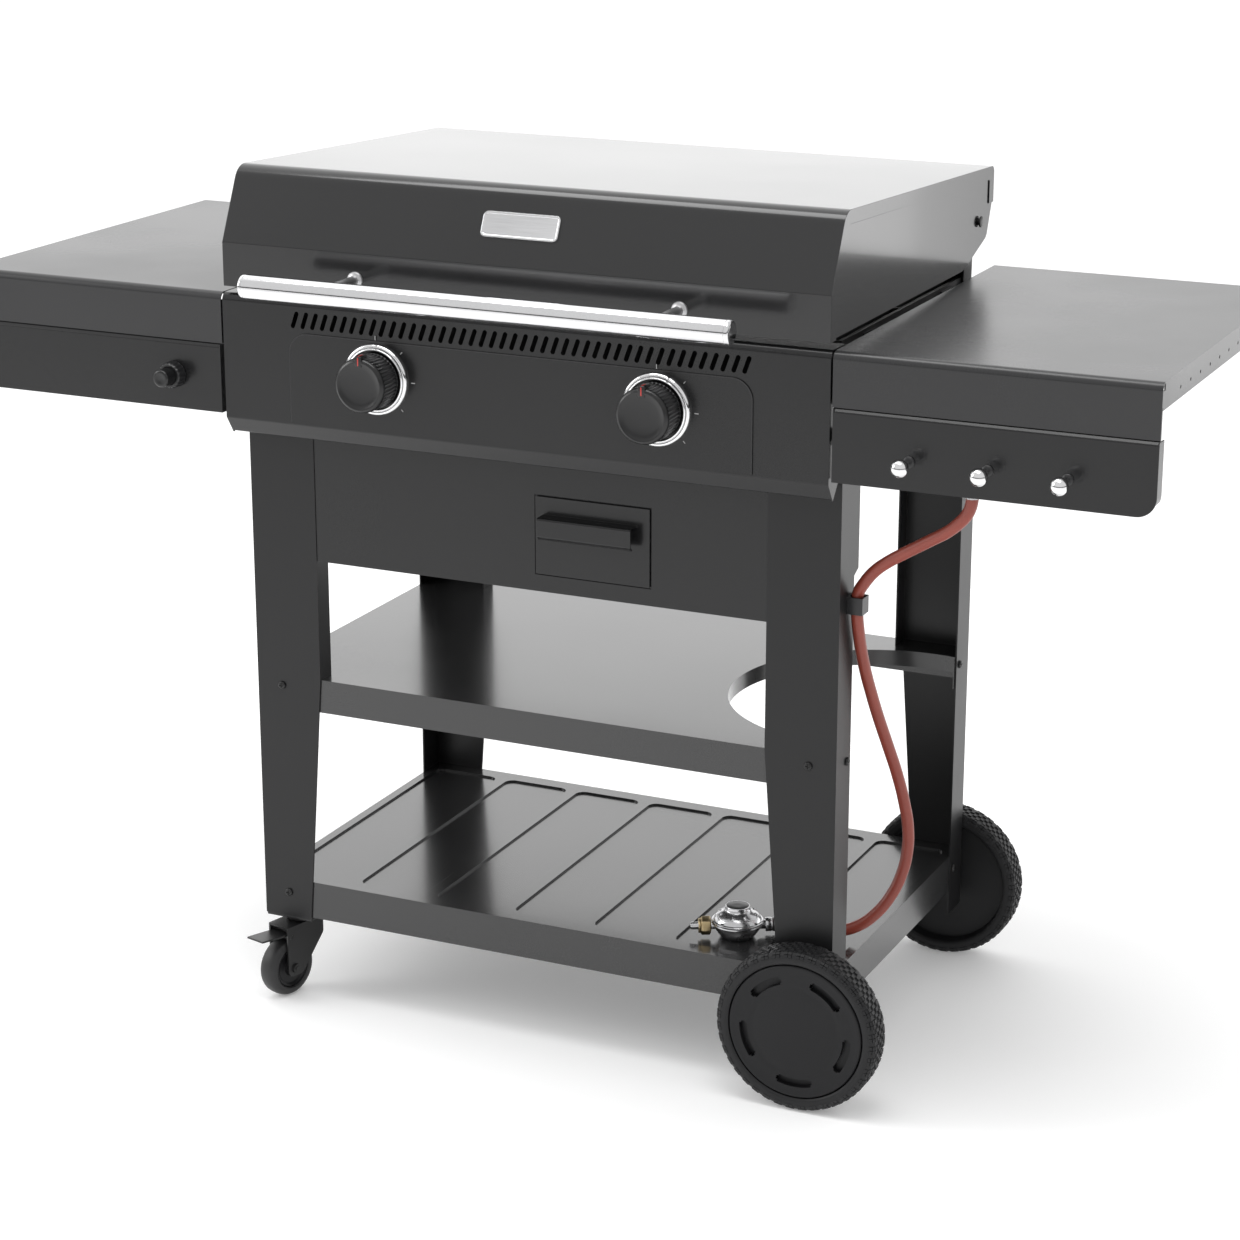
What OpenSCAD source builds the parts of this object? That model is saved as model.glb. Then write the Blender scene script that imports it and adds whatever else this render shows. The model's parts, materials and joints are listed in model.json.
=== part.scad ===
// Two-burner gas barbecue grill on a four-legged cart with two side tables.
// Millimetres, +X to the right of the cook, +Y to the back, +Z up.
// Inside the modules Y = 0 is the front face of the front legs;
// placed() moves everything so that the origin is the middle of the footprint.

/* [Cart] */
// Width over the outer faces of the legs
cart_w = 760; // [620:5:920]
// Depth over the outer faces of the legs
cart_d = 460; // [380:5:560]
// Height of the table tops and of the control panel
deck_h = 904; // [750:2:1090]
// Wall of the folded sheet parts
sheet = 1.5; // [1:0.1:2]
// Wall of the legs
leg_sheet = 2; // [1.5:0.1:2.5]
// Width of a leg above the middle shelf
leg_w = 88; // [74:1:106]
// Width of a leg at its foot
leg_foot_w = 65; // [54:1:74]
// Height of the bottom shelf
low_shelf_h = 156; // [150:1:190]
// Height of the bottom shelf's folded edge
low_lip = 48; // [30:1:49]
// Height of the middle shelf
mid_shelf_h = 424; // [360:2:510]
// Height of the middle shelf's folded edge
mid_lip = 42; // [25:1:50]
// Radius of the gas bottle cut-out in the middle shelf
bottle_r = 185; // [155:1:190]
// Number of pressed panels across the bottom shelf
shelf_panels = 7; // [5:1:8]

/* [Side tables] */
// Width of one side table
table_w = 362; // [300:2:435]
// How far the tables reach behind the rear legs
table_back = 40; // [20:1:60]
// Height of the table's front face
table_front_h = 61; // [50:1:70]
// Height of the apron below the table's front face
apron_h = 82; // [68:1:86]
// Radius of the table's front edge
edge_r = 9; // [6:0.5:11]

/* [Control panel] */
// Height of the flat front of the control panel
panel_h = 149; // [140:1:170]
// How far the panel stands in front of the legs
panel_out = 47; // [44:1:56]
// Distance from the middle to each burner knob
knob_x = 177; // [150:1:220]
// Depth of the knob axis below the deck
knob_drop = 84; // [80:1:90]
// Diameter of a knob
knob_d = 64; // [54:1:66]
// Outer diameter of a knob's bezel ring
bezel_d = 84; // [80:1:90]
// How far a knob is pressed in
knob_press = 3.5; // [2:0.5:4]
// Number of vent slots
slot_count = 45; // [31:2:47]
// Diameter of the valve stem
stem_d = 8; // [6:0.5:9]

/* [Hood] */
// Gap between the deck and the hood's lower edge
hood_gap = 8; // [6:0.5:12]
// Height of the hood above its lower edge, at the front
hood_h = 137; // [120:1:170]
// Height of the vertical lower face of the hood
hood_face_h = 52; // [44:1:60]
// How far the top falls towards the back
hood_fall = 23; // [10:1:30]
// How far the upper face leans back
hood_lean = 40; // [30:1:56]
// Width of the folded border around each hood end
hood_border = 16; // [10:1:20]
// Diameter of the hinge pins
hinge_d = 8; // [6:0.5:10]
// Diameter of the handle tube
handle_d = 28; // [22:1:32]
// Length of the handle tube
handle_l = 592; // [480:2:680]
// Distance from the hood to the handle's axis
handle_reach = 85; // [70:1:95]
// Distance between the handle's posts
handle_post_gap = 406; // [320:2:460]

/* [Grease tray] */
// Width of the tray's front
tray_w = 145; // [120:1:160]
// Height of the tray's front
tray_h = 93; // [80:1:98]
// Distance from the middle of the cart to the middle of the tray
tray_x = 75; // [0:1:90]
// How far the tray pulls out
tray_travel = 300; // [200:5:320]

/* [Wheels] */
// Diameter of a big wheel
wheel_d = 200; // [180:1:206]
// Width of a big wheel
wheel_w = 40; // [34:1:46]
// Diameter of the axle
axle_d = 10; // [8:0.5:12]
// Diameter of a caster wheel
caster_d = 75; // [64:1:78]
// Width of a caster wheel
caster_w = 26; // [20:1:30]
// Distance from the swivel axis to the caster wheel's axle
caster_trail = 28; // [24:1:32]

/* [Gas line] */
// Outer diameter of the gas hose
hose_d = 14; // [12:0.5:14]
// Diameter of the regulator's flange
regulator_d = 62; // [54:1:64]

/* [Hidden] */
$fn = 48;
fine = 96;
fit = 0.05;          // radial clearance of a pin, a shaft or a stem in its bore
gap = 0.5;           // clearance between parts that move past each other
bend_steps = 8;
half_w = cart_w/2;
shelf_half = half_w - leg_sheet;
rear_y = cart_d - leg_sheet;
leg_top = deck_h - 124;
foot_z = 106;
axle_foot_z = wheel_d/2 - 22;
leg_step_z = leg_top - 145;
leg_flange = 57;
leg_flange_low = 44;
leg_return = 27;
leg_step = 6;
plate_t = 2;             // thickness of small brackets
leg_inner = half_w - leg_w;

screw_d = 5;
screw_head_d = 10;
screw_head_h = 3;
screw_l = 9;
screw_x = half_w - 34;
screw_side_y = 33;
screw_rows = [low_shelf_h - 18, mid_shelf_h - 13];

low_plate = 4;
pocket_deep = 2.5;
pocket_pitch = 2*(shelf_half - low_plate)/shelf_panels;
pocket_rib = 16;
pocket_r = 12;
pocket_margin = 24;
bottle_x = half_w - 30;
bottle_lip = 20;

table_x0 = half_w + 4;
table_x1 = table_x0 + table_w;
table_y0 = -panel_out;
table_y1 = cart_d + table_back;
table_side_h = 30;
table_hole_d = 4;
table_hole_count = 11;
table_hole_in = 70;
table_hole_drop = 18;
table_hole_pitch = (table_y1 - table_y0 - 2*table_hole_in - 7)/(table_hole_count - 1);
table_front_z = deck_h - table_front_h;
apron_z = table_front_z - apron_h - 1;
apron_out = 2.5;
apron_r = 22;
apron_side = 18;
apron_tab = 35;
hook_pitch = 88;
hook_x = table_x0 + table_w/2 - 3;
hook_z = table_front_z - 51;
hook_ball = 20;
hook_stem = 7;
hook_reach = 30;

igniter_x = -(table_x0 + 66);
igniter_z = table_front_z - 42;
igniter_d = 21;
igniter_collar_d = 32;
igniter_collar_l = 14;
igniter_body_d = 25;
igniter_body_l = 42;
igniter_nut_d = 38;
igniter_nut_l = 6;
igniter_proud = 18;
igniter_hidden = 12;     // length of the button inside its housing
igniter_press = 6;
igniter_bore = igniter_hidden + igniter_press + 2 - igniter_collar_l;

panel_half = half_w + sheet;
panel_low = deck_h - panel_h;
panel_tip = panel_low - 21;
panel_tip_y = -panel_out + 14;
panel_back = -5;
panel_side_back = 15;
panel_lip = [14, 17];    // turned-in lip below the panel, back and up
panel_side_drop = 4;
pad_half = half_w - 88;
pad_top = deck_h - 39;
pad_t = 1.5;
pad_r = 25;
slot_w = 5.5;
slot_h = 21;
slot_lean = 20;
slot_z = deck_h - 24;
slot_pitch = 2*(pad_half - 8)/(slot_count - 1);
knob_z = deck_h - knob_drop;
pad_y = -panel_out - pad_t;
bezel_t = 6;
bezel_edge = 3;
bezel_gap = 2.5;         // round the knob
knob_y = pad_y - knob_press - 2;
knob_l = 36;
knob_chamfer = 3;
dish_r = 60.5;           // radius of the hollow in the knob's face
dish_deep = 2.5;
skirt = 4;
skirt_deep = 8;
stem_seat = 20;
pointer_l = 16;
pointer_deep = 9;
pointer_h = 12;
knob_flutes = 40;
flute_d = 3.2;
pointer_w = 9;
stem_hole_d = stem_d + 14;
valve_y0 = -22;
valve_y1 = 6;
valve_w = 28;
valve_nose_d = stem_d + 10;
valve_nose_y = -42;
valve_half_h = 14;
jet_d = 3;
jet_l = 8;
stem_y0 = -12;
spigot_d = 10;
spigot_l = 10;
manifold_d = 20;
manifold_y = -6;
manifold_z = knob_z - valve_half_h - manifold_d/2 + 4;
manifold_x0 = -knob_x - 24;
gas_drop = 30;
gas_x = table_x0 + 148;

box_half = half_w - 14;
box_y0 = 25;
box_y1 = cart_d - 5;
box_z0 = deck_h - 159;
box_z1 = deck_h - 4;
box_back_z = deck_h + 36;
ledge_w = 12;
grate_t = 12;
grate_gap = 3;           // between the two grates
ledge_z = box_z1 - grate_t - 2;
bar_w = 6;
bar_count = 19;
burner_d = 28;
burner_y0 = valve_y1 + 4;
burner_y1 = box_y1 - 25;
flame_half = 70;
flame_z = ledge_z - 22;
flame_rise = 24;
flame_t = 3;
port_d = 3;
port_count = 18;
port_pitch = 20;
port_tilt = 50;
port_y0 = burner_y0 + 60;
drain_w = 110;
drain_l = 90;
drain_h = 34;
vent_w = 30;
vent_h = 6;
vent_pitch = 48;
vent_drop = 18;
rail_z0 = leg_top - 45;

tray_z0 = panel_tip - 137;
tray_front = 1;
tray_depth = min(cart_d - 70, tray_travel + 90);
tray_box_h = 40;
tray_wing = 4;
tray_box_half = tray_w/2 - 8;
cross_z0 = tray_z0 - 22;
cross_z1 = box_z0 - 2;
cross_y = 1;
cross_foot = 12;
frame_w = 5;             // frame behind the tray's opening
brace_z0 = cross_z0 + 60;   // lower edge of the rear crosspiece
pull_w = 119;
pull_h = 22;
pull_out = 18;
pull_drop = 21;
pull_lip = 5;
pull_shift = 3;          // the pull sits left of the tray's middle
tray_rim = 5;
wing_y = 12;
rail_y0 = 14;
rail_more = 20;          // how far the rails reach behind the tray
rail_x = tray_box_half + tray_wing + gap;

hood_half = half_w;
hood_y0 = -45;
hood_y1 = cart_d + 36.5;
hood_z0 = deck_h + hood_gap;
hood_z1 = hood_z0 + hood_h;
hood_lip = 44;
hood_front_r = 24;
hood_back_r = 8;
hood_end_x = hood_half - sheet;
hood_end_up = 2;
hood_tail = [18, 30];    // the hood end's tail, in from the back and up
hood_tail_in = 100;
hood_tail_r = 60;
hood_corner_r = 12;
hinge_y = cart_d - 12.5;
hinge_z = deck_h + 61;
hinge_plate = 3;
hinge_foot = 40;         // how far the bracket reaches below the firebox rim
hinge_top = 14;
hinge_r = 12;
hinge_head_d = 14;
hinge_head_l = 3;
handle_y = hood_y0 - handle_reach;
handle_z = hood_z0 + 21;
handle_cap = 6;
handle_wall = 1.5;
cap_chamfer = 2;
cap_plug = 8;
post_d = 11;
post_foot_d = 20;
post_foot_l = 3;
badge_w = 96;
badge_h = 30;
badge_t = 2;

wheel_x = half_w - 28;
wheel_z = wheel_d/2;
wheel_gap = 5;
wheel_rim = 17;
hub_d = 36;
wheel_dish = 12;
cap_t = 3;
cap_r = wheel_d/2 - wheel_rim - 1;
cap_slot_r = cap_r - 18;
cap_slot_w = 8;
cap_slot_angle = 38;
cap_slots = 5;
nut_d = axle_d + 9;
nut_l = 6.5;

caster_x = -(half_w - 33);
caster_y = 28;
caster_turn = 15;
caster_top = foot_z;
caster_plate = 3;
caster_race_d = 36;
king_d = 10;
fork_z = caster_top - 14;
fork_t = 2.5;
fork_gap = 1.5;
fork_nose = 12;          // how far the fork reaches past the wheel's axle
fork_tail = 22;
fork_drop = 20;
fork_low = 10;           // the fork's tips end below the axle by this
king_flange = 6;
axle_head = 3;
caster_axle_d = 6;
brake_back = 6;
brake_z = 81;
brake_rise = 8;
brake_pin_d = 5;
brake_l = 46;

clip_h = 20;
clip_w = 20;
clip_out = 19;
clip_room = 1;

// Route of the gas hose, from the pipe end down to the regulator
hose_route = [
  [532, -6, 770], [532, -6, 756], [531, -5, 742], [526, -3, 729], [515, 0, 716], [501, 4, 704],
  [484, 9, 693], [465, 13, 681], [446, 17, 669], [428, 21, 657], [411, 25, 643], [398, 28, 627],
  [390, 31, 613], [389, 31, 600], [389, 32, 586], [389, 38, 565], [389, 48, 540], [390, 60, 513],
  [392, 75, 483], [396, 92, 447], [402, 109, 409], [409, 124, 370], [415, 134, 333],
  [419, 139, 300], [419, 139, 270], [414, 135, 241], [404, 127, 215], [389, 118, 193],
  [370, 111, 177], [347, 108, 168], [322, 109, 166], [300, 107, 166], [283, 101, 167], [268, 93, 168]
];
hose_clip_z = 600;
hose_clip_x = half_w + 9;
hose_clip_y = 31;
hose_end = [268, 93, 168];
regulator_turn = 28;
regulator_reach = 42;
regulator_h = 40;
regulator_cap = 17;      // the cap's radius is this much less than the flange's
spout_d = 9;
spout_l = 26;
union_d = 23;
union_l = 15;
regulator_z = low_shelf_h - pocket_deep;

// Route of the ignition wire, from the push button to the electrode
wire_d = 4;
electrode_x = -(knob_x + burner_d/2 + 8);
electrode_y = 8;
electrode_z = knob_z - 8;
electrode_d = 8;
wire_route = [
  [-450, -5.5, 801], [-450, 6, 801], [-446, 14, 802], [-436, 19, 804], [-420, 20, 807], [-400, 20, 809],
  [-380, 20, 810], [-350, 18, 811], [-310, 11, 812], [-270, 3, 812], [-240, -3, 812], [-220, -6, 812],
  [-208, -5, 812], [-201, 0, 812], [-199, 8, 812]
];

table_bracket_w = 40;
table_bracket_in = 65;
table_bracket_z = deck_h - 56;
table_bracket_h = 48;

front_y = handle_y - handle_d/2;
back_y = cart_d + wheel_gap + wheel_w;
mid_y = (front_y + back_y)/2;

// Puts the part's origin at the middle of the footprint
module placed() {
  translate([0, -mid_y, 0]) children();
}

// Extrudes a (y, z) outline from x0 to x1
module along_x(x0, x1) {
  translate([x0, 0, 0]) rotate([90, 0, 90]) linear_extrude(x1 - x0) children();
}

// Extrudes an (x, z) outline from y0 to y1
module along_y(y0, y1) {
  translate([0, y1, 0]) rotate([90, 0, 0]) linear_extrude(y1 - y0) children();
}

// A cylinder along X from x0 to x1
module rod_x(x0, x1, y, z, d) {
  translate([x0, y, z]) rotate([0, 90, 0]) cylinder(d = d, h = x1 - x0);
}

// A cylinder along Y from y0 to y1
module rod_y(x, y0, y1, z, d) {
  translate([x, y0, z]) rotate([-90, 0, 0]) cylinder(d = d, h = y1 - y0);
}

// A block from one corner to the other
module block(x0, x1, y0, y1, z0, z1) {
  translate([x0, y0, z0]) cube([x1 - x0, y1 - y0, z1 - z0]);
}

// A piece and its mirror image at the other side of the cart
module both_sides() {
  children();
  mirror([1, 0, 0]) children();
}

function unit(v) = v/norm(v);
function left_of(v) = [-v[1], v[0]];

// Points of a round corner at b, between a and c
function corner(a, b, c, r) =
  let (u = unit(a - b), v = unit(c - b), half = acos(u*v)/2,
       middle = b + unit(u + v)*r/sin(half),
       s = b + u*r/tan(half) - middle, e = b + v*r/tan(half) - middle,
       a0 = atan2(s[1], s[0]), turn = (atan2(e[1], e[0]) - a0 + 900) % 360 - 180)
  r == 0 ? [b] : [for (i = [0:bend_steps])
    middle + r*[cos(a0 + turn*i/bend_steps), sin(a0 + turn*i/bend_steps)]];

// A path with a radius at each inner point
function rounded(points, radii) = [for (i = [0:len(points) - 1])
  each (i == 0 || i == len(points) - 1 ? [points[i]]
    : corner(points[i - 1], points[i], points[i + 1], radii[i]))];

// Outward direction at a point of a path, longer where the path turns
function miter(p, i) =
  let (n1 = left_of(unit(p[max(i, 1)] - p[max(i, 1) - 1])),
       n2 = left_of(unit(p[min(i, len(p) - 2) + 1] - p[min(i, len(p) - 2)])))
  (n1 + n2)/(1 + n1*n2);

// Outline of a sheet of wall t whose outer side follows the path
function folded(p, t) = concat(p, inner_path(p, t));
function inner_path(p, t) = [for (i = [len(p) - 1:-1:0]) p[i] - t*miter(p, i)];

// Rings of a tube swept along a route
function ring_dir(r, i) = unit(r[min(i + 1, len(r) - 1)] - r[max(i - 1, 0)]);
function ring_side(d) = unit(cross(d, abs(d[1]) < 0.8 ? [0, 1, 0] : [1, 0, 0]));
function ring(r, i, d, n) =
  let (w = ring_dir(r, i), u = ring_side(w), v = cross(w, u))
  [for (k = [0:n - 1]) r[i] + d/2*(cos(360*k/n)*u + sin(360*k/n)*v)];

// A closed tube of diameter d with n sides along a route
module swept(r, d, n) {
  rings = [for (i = [0:len(r) - 1]) each ring(r, i, d, n)];
  last = n*(len(r) - 1);
  walls = [for (i = [0:len(r) - 2], k = [0:n - 1]) each
    [[n*i + k, n*i + (k + 1) % n, n*(i + 1) + k],
     [n*i + (k + 1) % n, n*(i + 1) + (k + 1) % n, n*(i + 1) + k]]];
  ends = [[for (k = [n - 1:-1:0]) k], [for (k = [0:n - 1]) last + k]];
  polyhedron(points = rings, faces = concat(walls, ends));
}

// A front right leg; the others are mirrored from it
module leg_form(foot) {
  difference() {
    union() {
      along_y(0, leg_sheet)
        polygon([[half_w, foot], [half_w, leg_top], [leg_inner, leg_top], [leg_inner, mid_shelf_h],
                 [half_w - leg_foot_w, low_shelf_h - low_lip], [half_w - leg_foot_w, foot]]);
      along_x(half_w - leg_sheet, half_w)
        polygon([[0, foot], [0, leg_top], [leg_flange, leg_top], [leg_flange, leg_step_z],
                 [leg_flange_low, leg_step_z - leg_step], [leg_flange_low, foot]]);
      block(leg_inner, leg_inner + leg_sheet, 0, leg_return, mid_shelf_h, cross_z1);
    }
    leg_screw_places() cylinder(d = screw_d + 2*fit, h = screw_l);
  }
}

// Puts its child at each screw of a leg, pointing into the leg
module leg_screw_places() {
  for (z = screw_rows) {
    translate([screw_x, -gap, z]) rotate([-90, 0, 0]) children();
    translate([half_w + gap, screw_side_y, z]) rotate([0, -90, 0]) children();
  }
}

module front_leg_place(side) {
  placed() mirror([side < 0 ? 1 : 0, 0, 0]) children();
}

module rear_leg_place(side) {
  placed() translate([0, cart_d, 0]) mirror([side < 0 ? 1 : 0, 0, 0]) mirror([0, 1, 0]) children();
}

module axle_leg() {
  difference() {
    leg_form(axle_foot_z);
    rod_y(wheel_x, -1, leg_sheet + 1, wheel_z, axle_d + 2*fit);
  }
}

module leg_front_left() { color("dimgray") front_leg_place(-1) leg_form(foot_z); }
module leg_front_right() { color("dimgray") front_leg_place(1) axle_leg(); }
module leg_rear_left() { color("dimgray") rear_leg_place(-1) leg_form(foot_z); }
module leg_rear_right() { color("dimgray") rear_leg_place(1) axle_leg(); }

module screw() {
  translate([0, 0, gap - screw_head_h]) cylinder(d = screw_head_d, h = screw_head_h);
  translate([0, 0, gap]) cylinder(d = screw_d, h = screw_l - 1);
}

module leg_screws() {
  color("black") {
    for (side = [-1, 1]) {
      front_leg_place(side) leg_screw_places() screw();
      rear_leg_place(side) leg_screw_places() screw();
    }
  }
}

// Screw holes of all four legs, cut into what the screws hold
module all_screw_holes() {
  for (x = [0, 1], y = [0, 1])
    translate([0, y*cart_d, 0]) mirror([x, 0, 0]) mirror([0, y, 0])
      leg_screw_places() cylinder(d = screw_d + 2*fit, h = screw_l + 2);
}

// Rectangle with round corners, as a plain outline
module round_rect(x0, x1, y0, y1, r) {
  polygon(concat(corner([x0, y1], [x0, y0], [x1, y0], r), corner([x0, y0], [x1, y0], [x1, y1], r),
                 corner([x1, y0], [x1, y1], [x0, y1], r), corner([x1, y1], [x0, y1], [x0, y0], r)));
}

// Sheet tray turned upside down: a flat top and four folded edges
module upturned_tray(top, wall, lip) {
  difference() {
    block(-shelf_half, shelf_half, leg_sheet, rear_y, top - lip, top);
    block(-shelf_half + sheet, shelf_half - sheet, leg_sheet + sheet, rear_y - sheet,
          top - lip - 1, top - wall);
  }
}

module bottom_shelf() {
  color("gray") placed() difference() {
    upturned_tray(low_shelf_h, low_plate, low_lip);
    for (i = [0:shelf_panels - 1])
      translate([-shelf_half + low_plate + pocket_pitch*i, 0, low_shelf_h - pocket_deep])
        linear_extrude(low_plate)
          round_rect(pocket_rib/2, pocket_pitch - pocket_rib/2, pocket_margin, cart_d - pocket_margin,
                     pocket_r);
    all_screw_holes();
  }
}

module middle_shelf() {
  color("gray") placed() difference() {
    union() {
      upturned_tray(mid_shelf_h, sheet, mid_lip);
      intersection() {
        translate([bottle_x, cart_d/2, mid_shelf_h - bottle_lip])
          cylinder(r = bottle_r + sheet, h = bottle_lip, $fn = fine);
        block(0, shelf_half, leg_sheet, rear_y, 0, mid_shelf_h);
      }
    }
    translate([bottle_x, cart_d/2, mid_shelf_h - mid_lip - 1])
      cylinder(r = bottle_r, h = mid_lip + 2, $fn = fine);
    all_screw_holes();
  }
}

// Crosspiece between two legs, with an end flange at each leg
module crosspiece(z0, z1) {
  block(-leg_inner, leg_inner, cross_y, cross_y + sheet, z0, z1);
  both_sides() block(leg_inner - sheet, leg_inner, cross_y, leg_return, z0, z1);
  block(-leg_inner, leg_inner, cross_y, cross_foot, z0, z0 + sheet);
}

module front_crosspiece() {
  z0 = tray_z0;
  z1 = tray_z0 + tray_h;
  half = tray_w/2;
  inner = tray_box_half + tray_wing + gap;
  color("dimgray") placed() {
    difference() {
      crosspiece(cross_z0, cross_z1);
      block(tray_x - half - sheet, tray_x + half + sheet, 0, cross_y + 2*sheet, z0 - sheet, z1 + sheet);
    }
    difference() {
      block(tray_x - half - frame_w, tray_x + half + frame_w, cross_y + sheet, cross_y + 2*sheet,
            z0 - frame_w, z1 + frame_w);
      block(tray_x - inner, tray_x + inner, 0, cross_y + 3*sheet, z0 + tray_rim - 2*gap, z1 - frame_w);
    }
  }
}

module rear_crosspiece() {
  color("dimgray") placed() translate([0, cart_d, 0]) mirror([0, 1, 0]) crosspiece(brace_z0, cross_z1);
}

module side_rails() {
  color("dimgray") placed() both_sides() {
    block(shelf_half - sheet, shelf_half, leg_sheet, rear_y, rail_z0, leg_top);
    block(box_half, shelf_half, leg_sheet, rear_y, leg_top - sheet, leg_top);
  }
}

// Drain chute under the firebox floor
module drain(z0, z1, grow) {
  block(tray_x - drain_w/2 - grow, tray_x + drain_w/2 + grow, cart_d/2 - drain_l/2 - grow,
        cart_d/2 + drain_l/2 + grow, z0, z1);
}

module firebox() {
  color("darkslategray") placed() difference() {
    union() {
      block(-box_half, box_half, box_y0, box_y1, box_z0, box_z1);
      block(-box_half, box_half, box_y1 - sheet, box_y1, box_z0, box_back_z);
      drain(box_z0 - drain_h, box_z0 + 1, sheet);
    }
    difference() {
      block(-box_half + sheet, box_half - sheet, box_y0 + sheet, box_y1 - sheet, box_z0 + sheet, box_z1 + 1);
      for (y = [[box_y0, box_y0 + ledge_w], [box_y1 - ledge_w, box_y1]])
        block(-box_half, box_half, y[0], y[1], ledge_z - sheet, ledge_z);
    }
    drain(box_z0 - drain_h - 1, box_z0 + sheet + 1, 0);
    both_sides() rod_y(knob_x, box_y0 - 1, box_y0 + sheet + 1, knob_z, burner_d + 2);
    rod_y(electrode_x, box_y0 - 1, box_y0 + sheet + 1, electrode_z, electrode_d + 2*fit);
    for (i = [-6:6])
      along_y(box_y1 - sheet - 1, box_y1 + 1)
        translate([i*vent_pitch, box_back_z - vent_drop]) slot_outline(vent_w, vent_h);
  }
}

// Slot with round ends, w wide and h high, about the origin
module slot_outline(w, h) {
  square([w - h, h], center = true);
  for (s = [-1, 1]) translate([s*(w - h)/2, 0]) circle(d = h);
}

module panel_path_sheet() {
  path = rounded([[panel_tip_y, panel_tip] + panel_lip, [panel_tip_y, panel_tip], [-panel_out, panel_low],
                  [-panel_out, deck_h], [panel_back, deck_h]], [0, 2.5, 4, edge_r, 0]);
  along_x(-panel_half, panel_half) polygon(folded(path, sheet));
  both_sides() along_x(panel_half - sheet, panel_half)
    polygon(concat(rounded([[panel_tip_y, panel_tip], [-panel_out, panel_low], [-panel_out, deck_h],
                            [panel_back, deck_h]], [0, 4, edge_r, 0]),
                   [[panel_back, deck_h - panel_side_drop], [panel_side_back, deck_h - panel_side_drop],
                    [panel_side_back, panel_low + 2], [panel_tip_y, panel_tip] + panel_lip]));
  along_y(-panel_out - pad_t, -panel_out) polygon(concat(
    [[-pad_half, panel_low + 3]],
    corner([-pad_half, panel_low], [-pad_half, pad_top], [pad_half, pad_top], pad_r),
    corner([-pad_half, pad_top], [pad_half, pad_top], [pad_half, panel_low], pad_r),
    [[pad_half, panel_low + 3]]));
}

module control_panel() {
  color("dimgray") placed() difference() {
    panel_path_sheet();
    for (i = [0:slot_count - 1])
      translate([-pad_half + 8 + slot_pitch*i, 0, slot_z]) rotate([0, slot_lean - 90, 0])
        along_y(-panel_out - pad_t - 1, -panel_out + sheet + 1) slot_outline(slot_h, slot_w);
    both_sides() rod_y(knob_x, -panel_out - pad_t - 1, -panel_out + sheet + 1, knob_z, stem_hole_d);
    rod_x(panel_half - sheet - 1, panel_half + 1, manifold_y, manifold_z, manifold_d);
  }
}

module knob_bezels() {
  color("silver") placed() both_sides() translate([knob_x, pad_y, knob_z]) rotate([90, 0, 0]) difference() {
    union() {
      cylinder(d = bezel_d, h = bezel_edge, $fn = fine);
      cylinder(d1 = bezel_d, d2 = bezel_d - 7, h = bezel_t, $fn = fine);
    }
    translate([0, 0, -1]) cylinder(d = knob_d + 2*bezel_gap, h = bezel_t + 2, $fn = fine);
  }
}

module knob() {
  rotate([90, 0, 0]) difference() {
    union() {
      cylinder(d = knob_d, h = knob_l - knob_chamfer, $fn = fine);
      translate([0, 0, knob_l - knob_chamfer])
        cylinder(d1 = knob_d, d2 = knob_d - 5, h = knob_chamfer, $fn = fine);
      translate([-pointer_w/2, knob_d/2 - pointer_deep, knob_l - pointer_l])
        cube([pointer_w, pointer_h, pointer_l]);
    }
    translate([0, 0, knob_l + dish_r - dish_deep]) sphere(r = dish_r, $fn = fine);
    translate([0, 0, -1]) cylinder(d = knob_d - 2*skirt, h = skirt_deep + 1);
    translate([0, 0, -1]) cylinder(d = stem_d + 2*fit, h = stem_seat + 1);
    for (i = [0:knob_flutes - 1])
      rotate([0, 0, 90 + 360*(i + 0.5)/knob_flutes]) translate([knob_d/2 + 0.9, 0, -1])
        cylinder(d = flute_d, h = knob_l - 6, $fn = 16);
  }
}

module knob_place(side) {
  placed() translate([side*knob_x, knob_y, knob_z]) children();
}

module knob_left() { color("black") knob_place(-1) knob(); }
module knob_right() { color("black") knob_place(1) knob(); }

module stem(side) {
  color("silver") placed() rod_y(side*knob_x, knob_y - stem_seat + 1, stem_y0, knob_z, stem_d);
}

module valve_stem_left() { stem(-1); }
module valve_stem_right() { stem(1); }

module gas_valves() {
  color("goldenrod") placed() both_sides() difference() {
    union() {
      block(knob_x - valve_w/2, knob_x + valve_w/2, valve_y0, valve_y1,
            knob_z - valve_half_h, knob_z + valve_half_h);
      rod_y(knob_x, valve_nose_y, valve_y0 + 1, knob_z, valve_nose_d);
      rod_y(knob_x, valve_y1 - 1, valve_y1 + spigot_l, knob_z, spigot_d);
    }
    rod_y(knob_x, valve_nose_y - 1, stem_y0 + knob_press + 1, knob_z, stem_d + 2*fit);
    rod_y(knob_x, valve_y1 - jet_l, valve_y1 + spigot_l + 1, knob_z, jet_d);
  }
}

module gas_manifold() {
  color("silver") placed() difference() {
    union() {
      rod_x(manifold_x0, gas_x, manifold_y, manifold_z, manifold_d);
      translate([gas_x, manifold_y, manifold_z]) sphere(d = manifold_d + 4);
      translate([gas_x, manifold_y, manifold_z - gas_drop]) cylinder(d = manifold_d - 2, h = gas_drop);
    }
    both_sides() block(knob_x - valve_w/2 - 1, knob_x + valve_w/2 + 1, valve_y0, valve_y1,
                       knob_z - valve_half_h, knob_z);
  }
}

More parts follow.
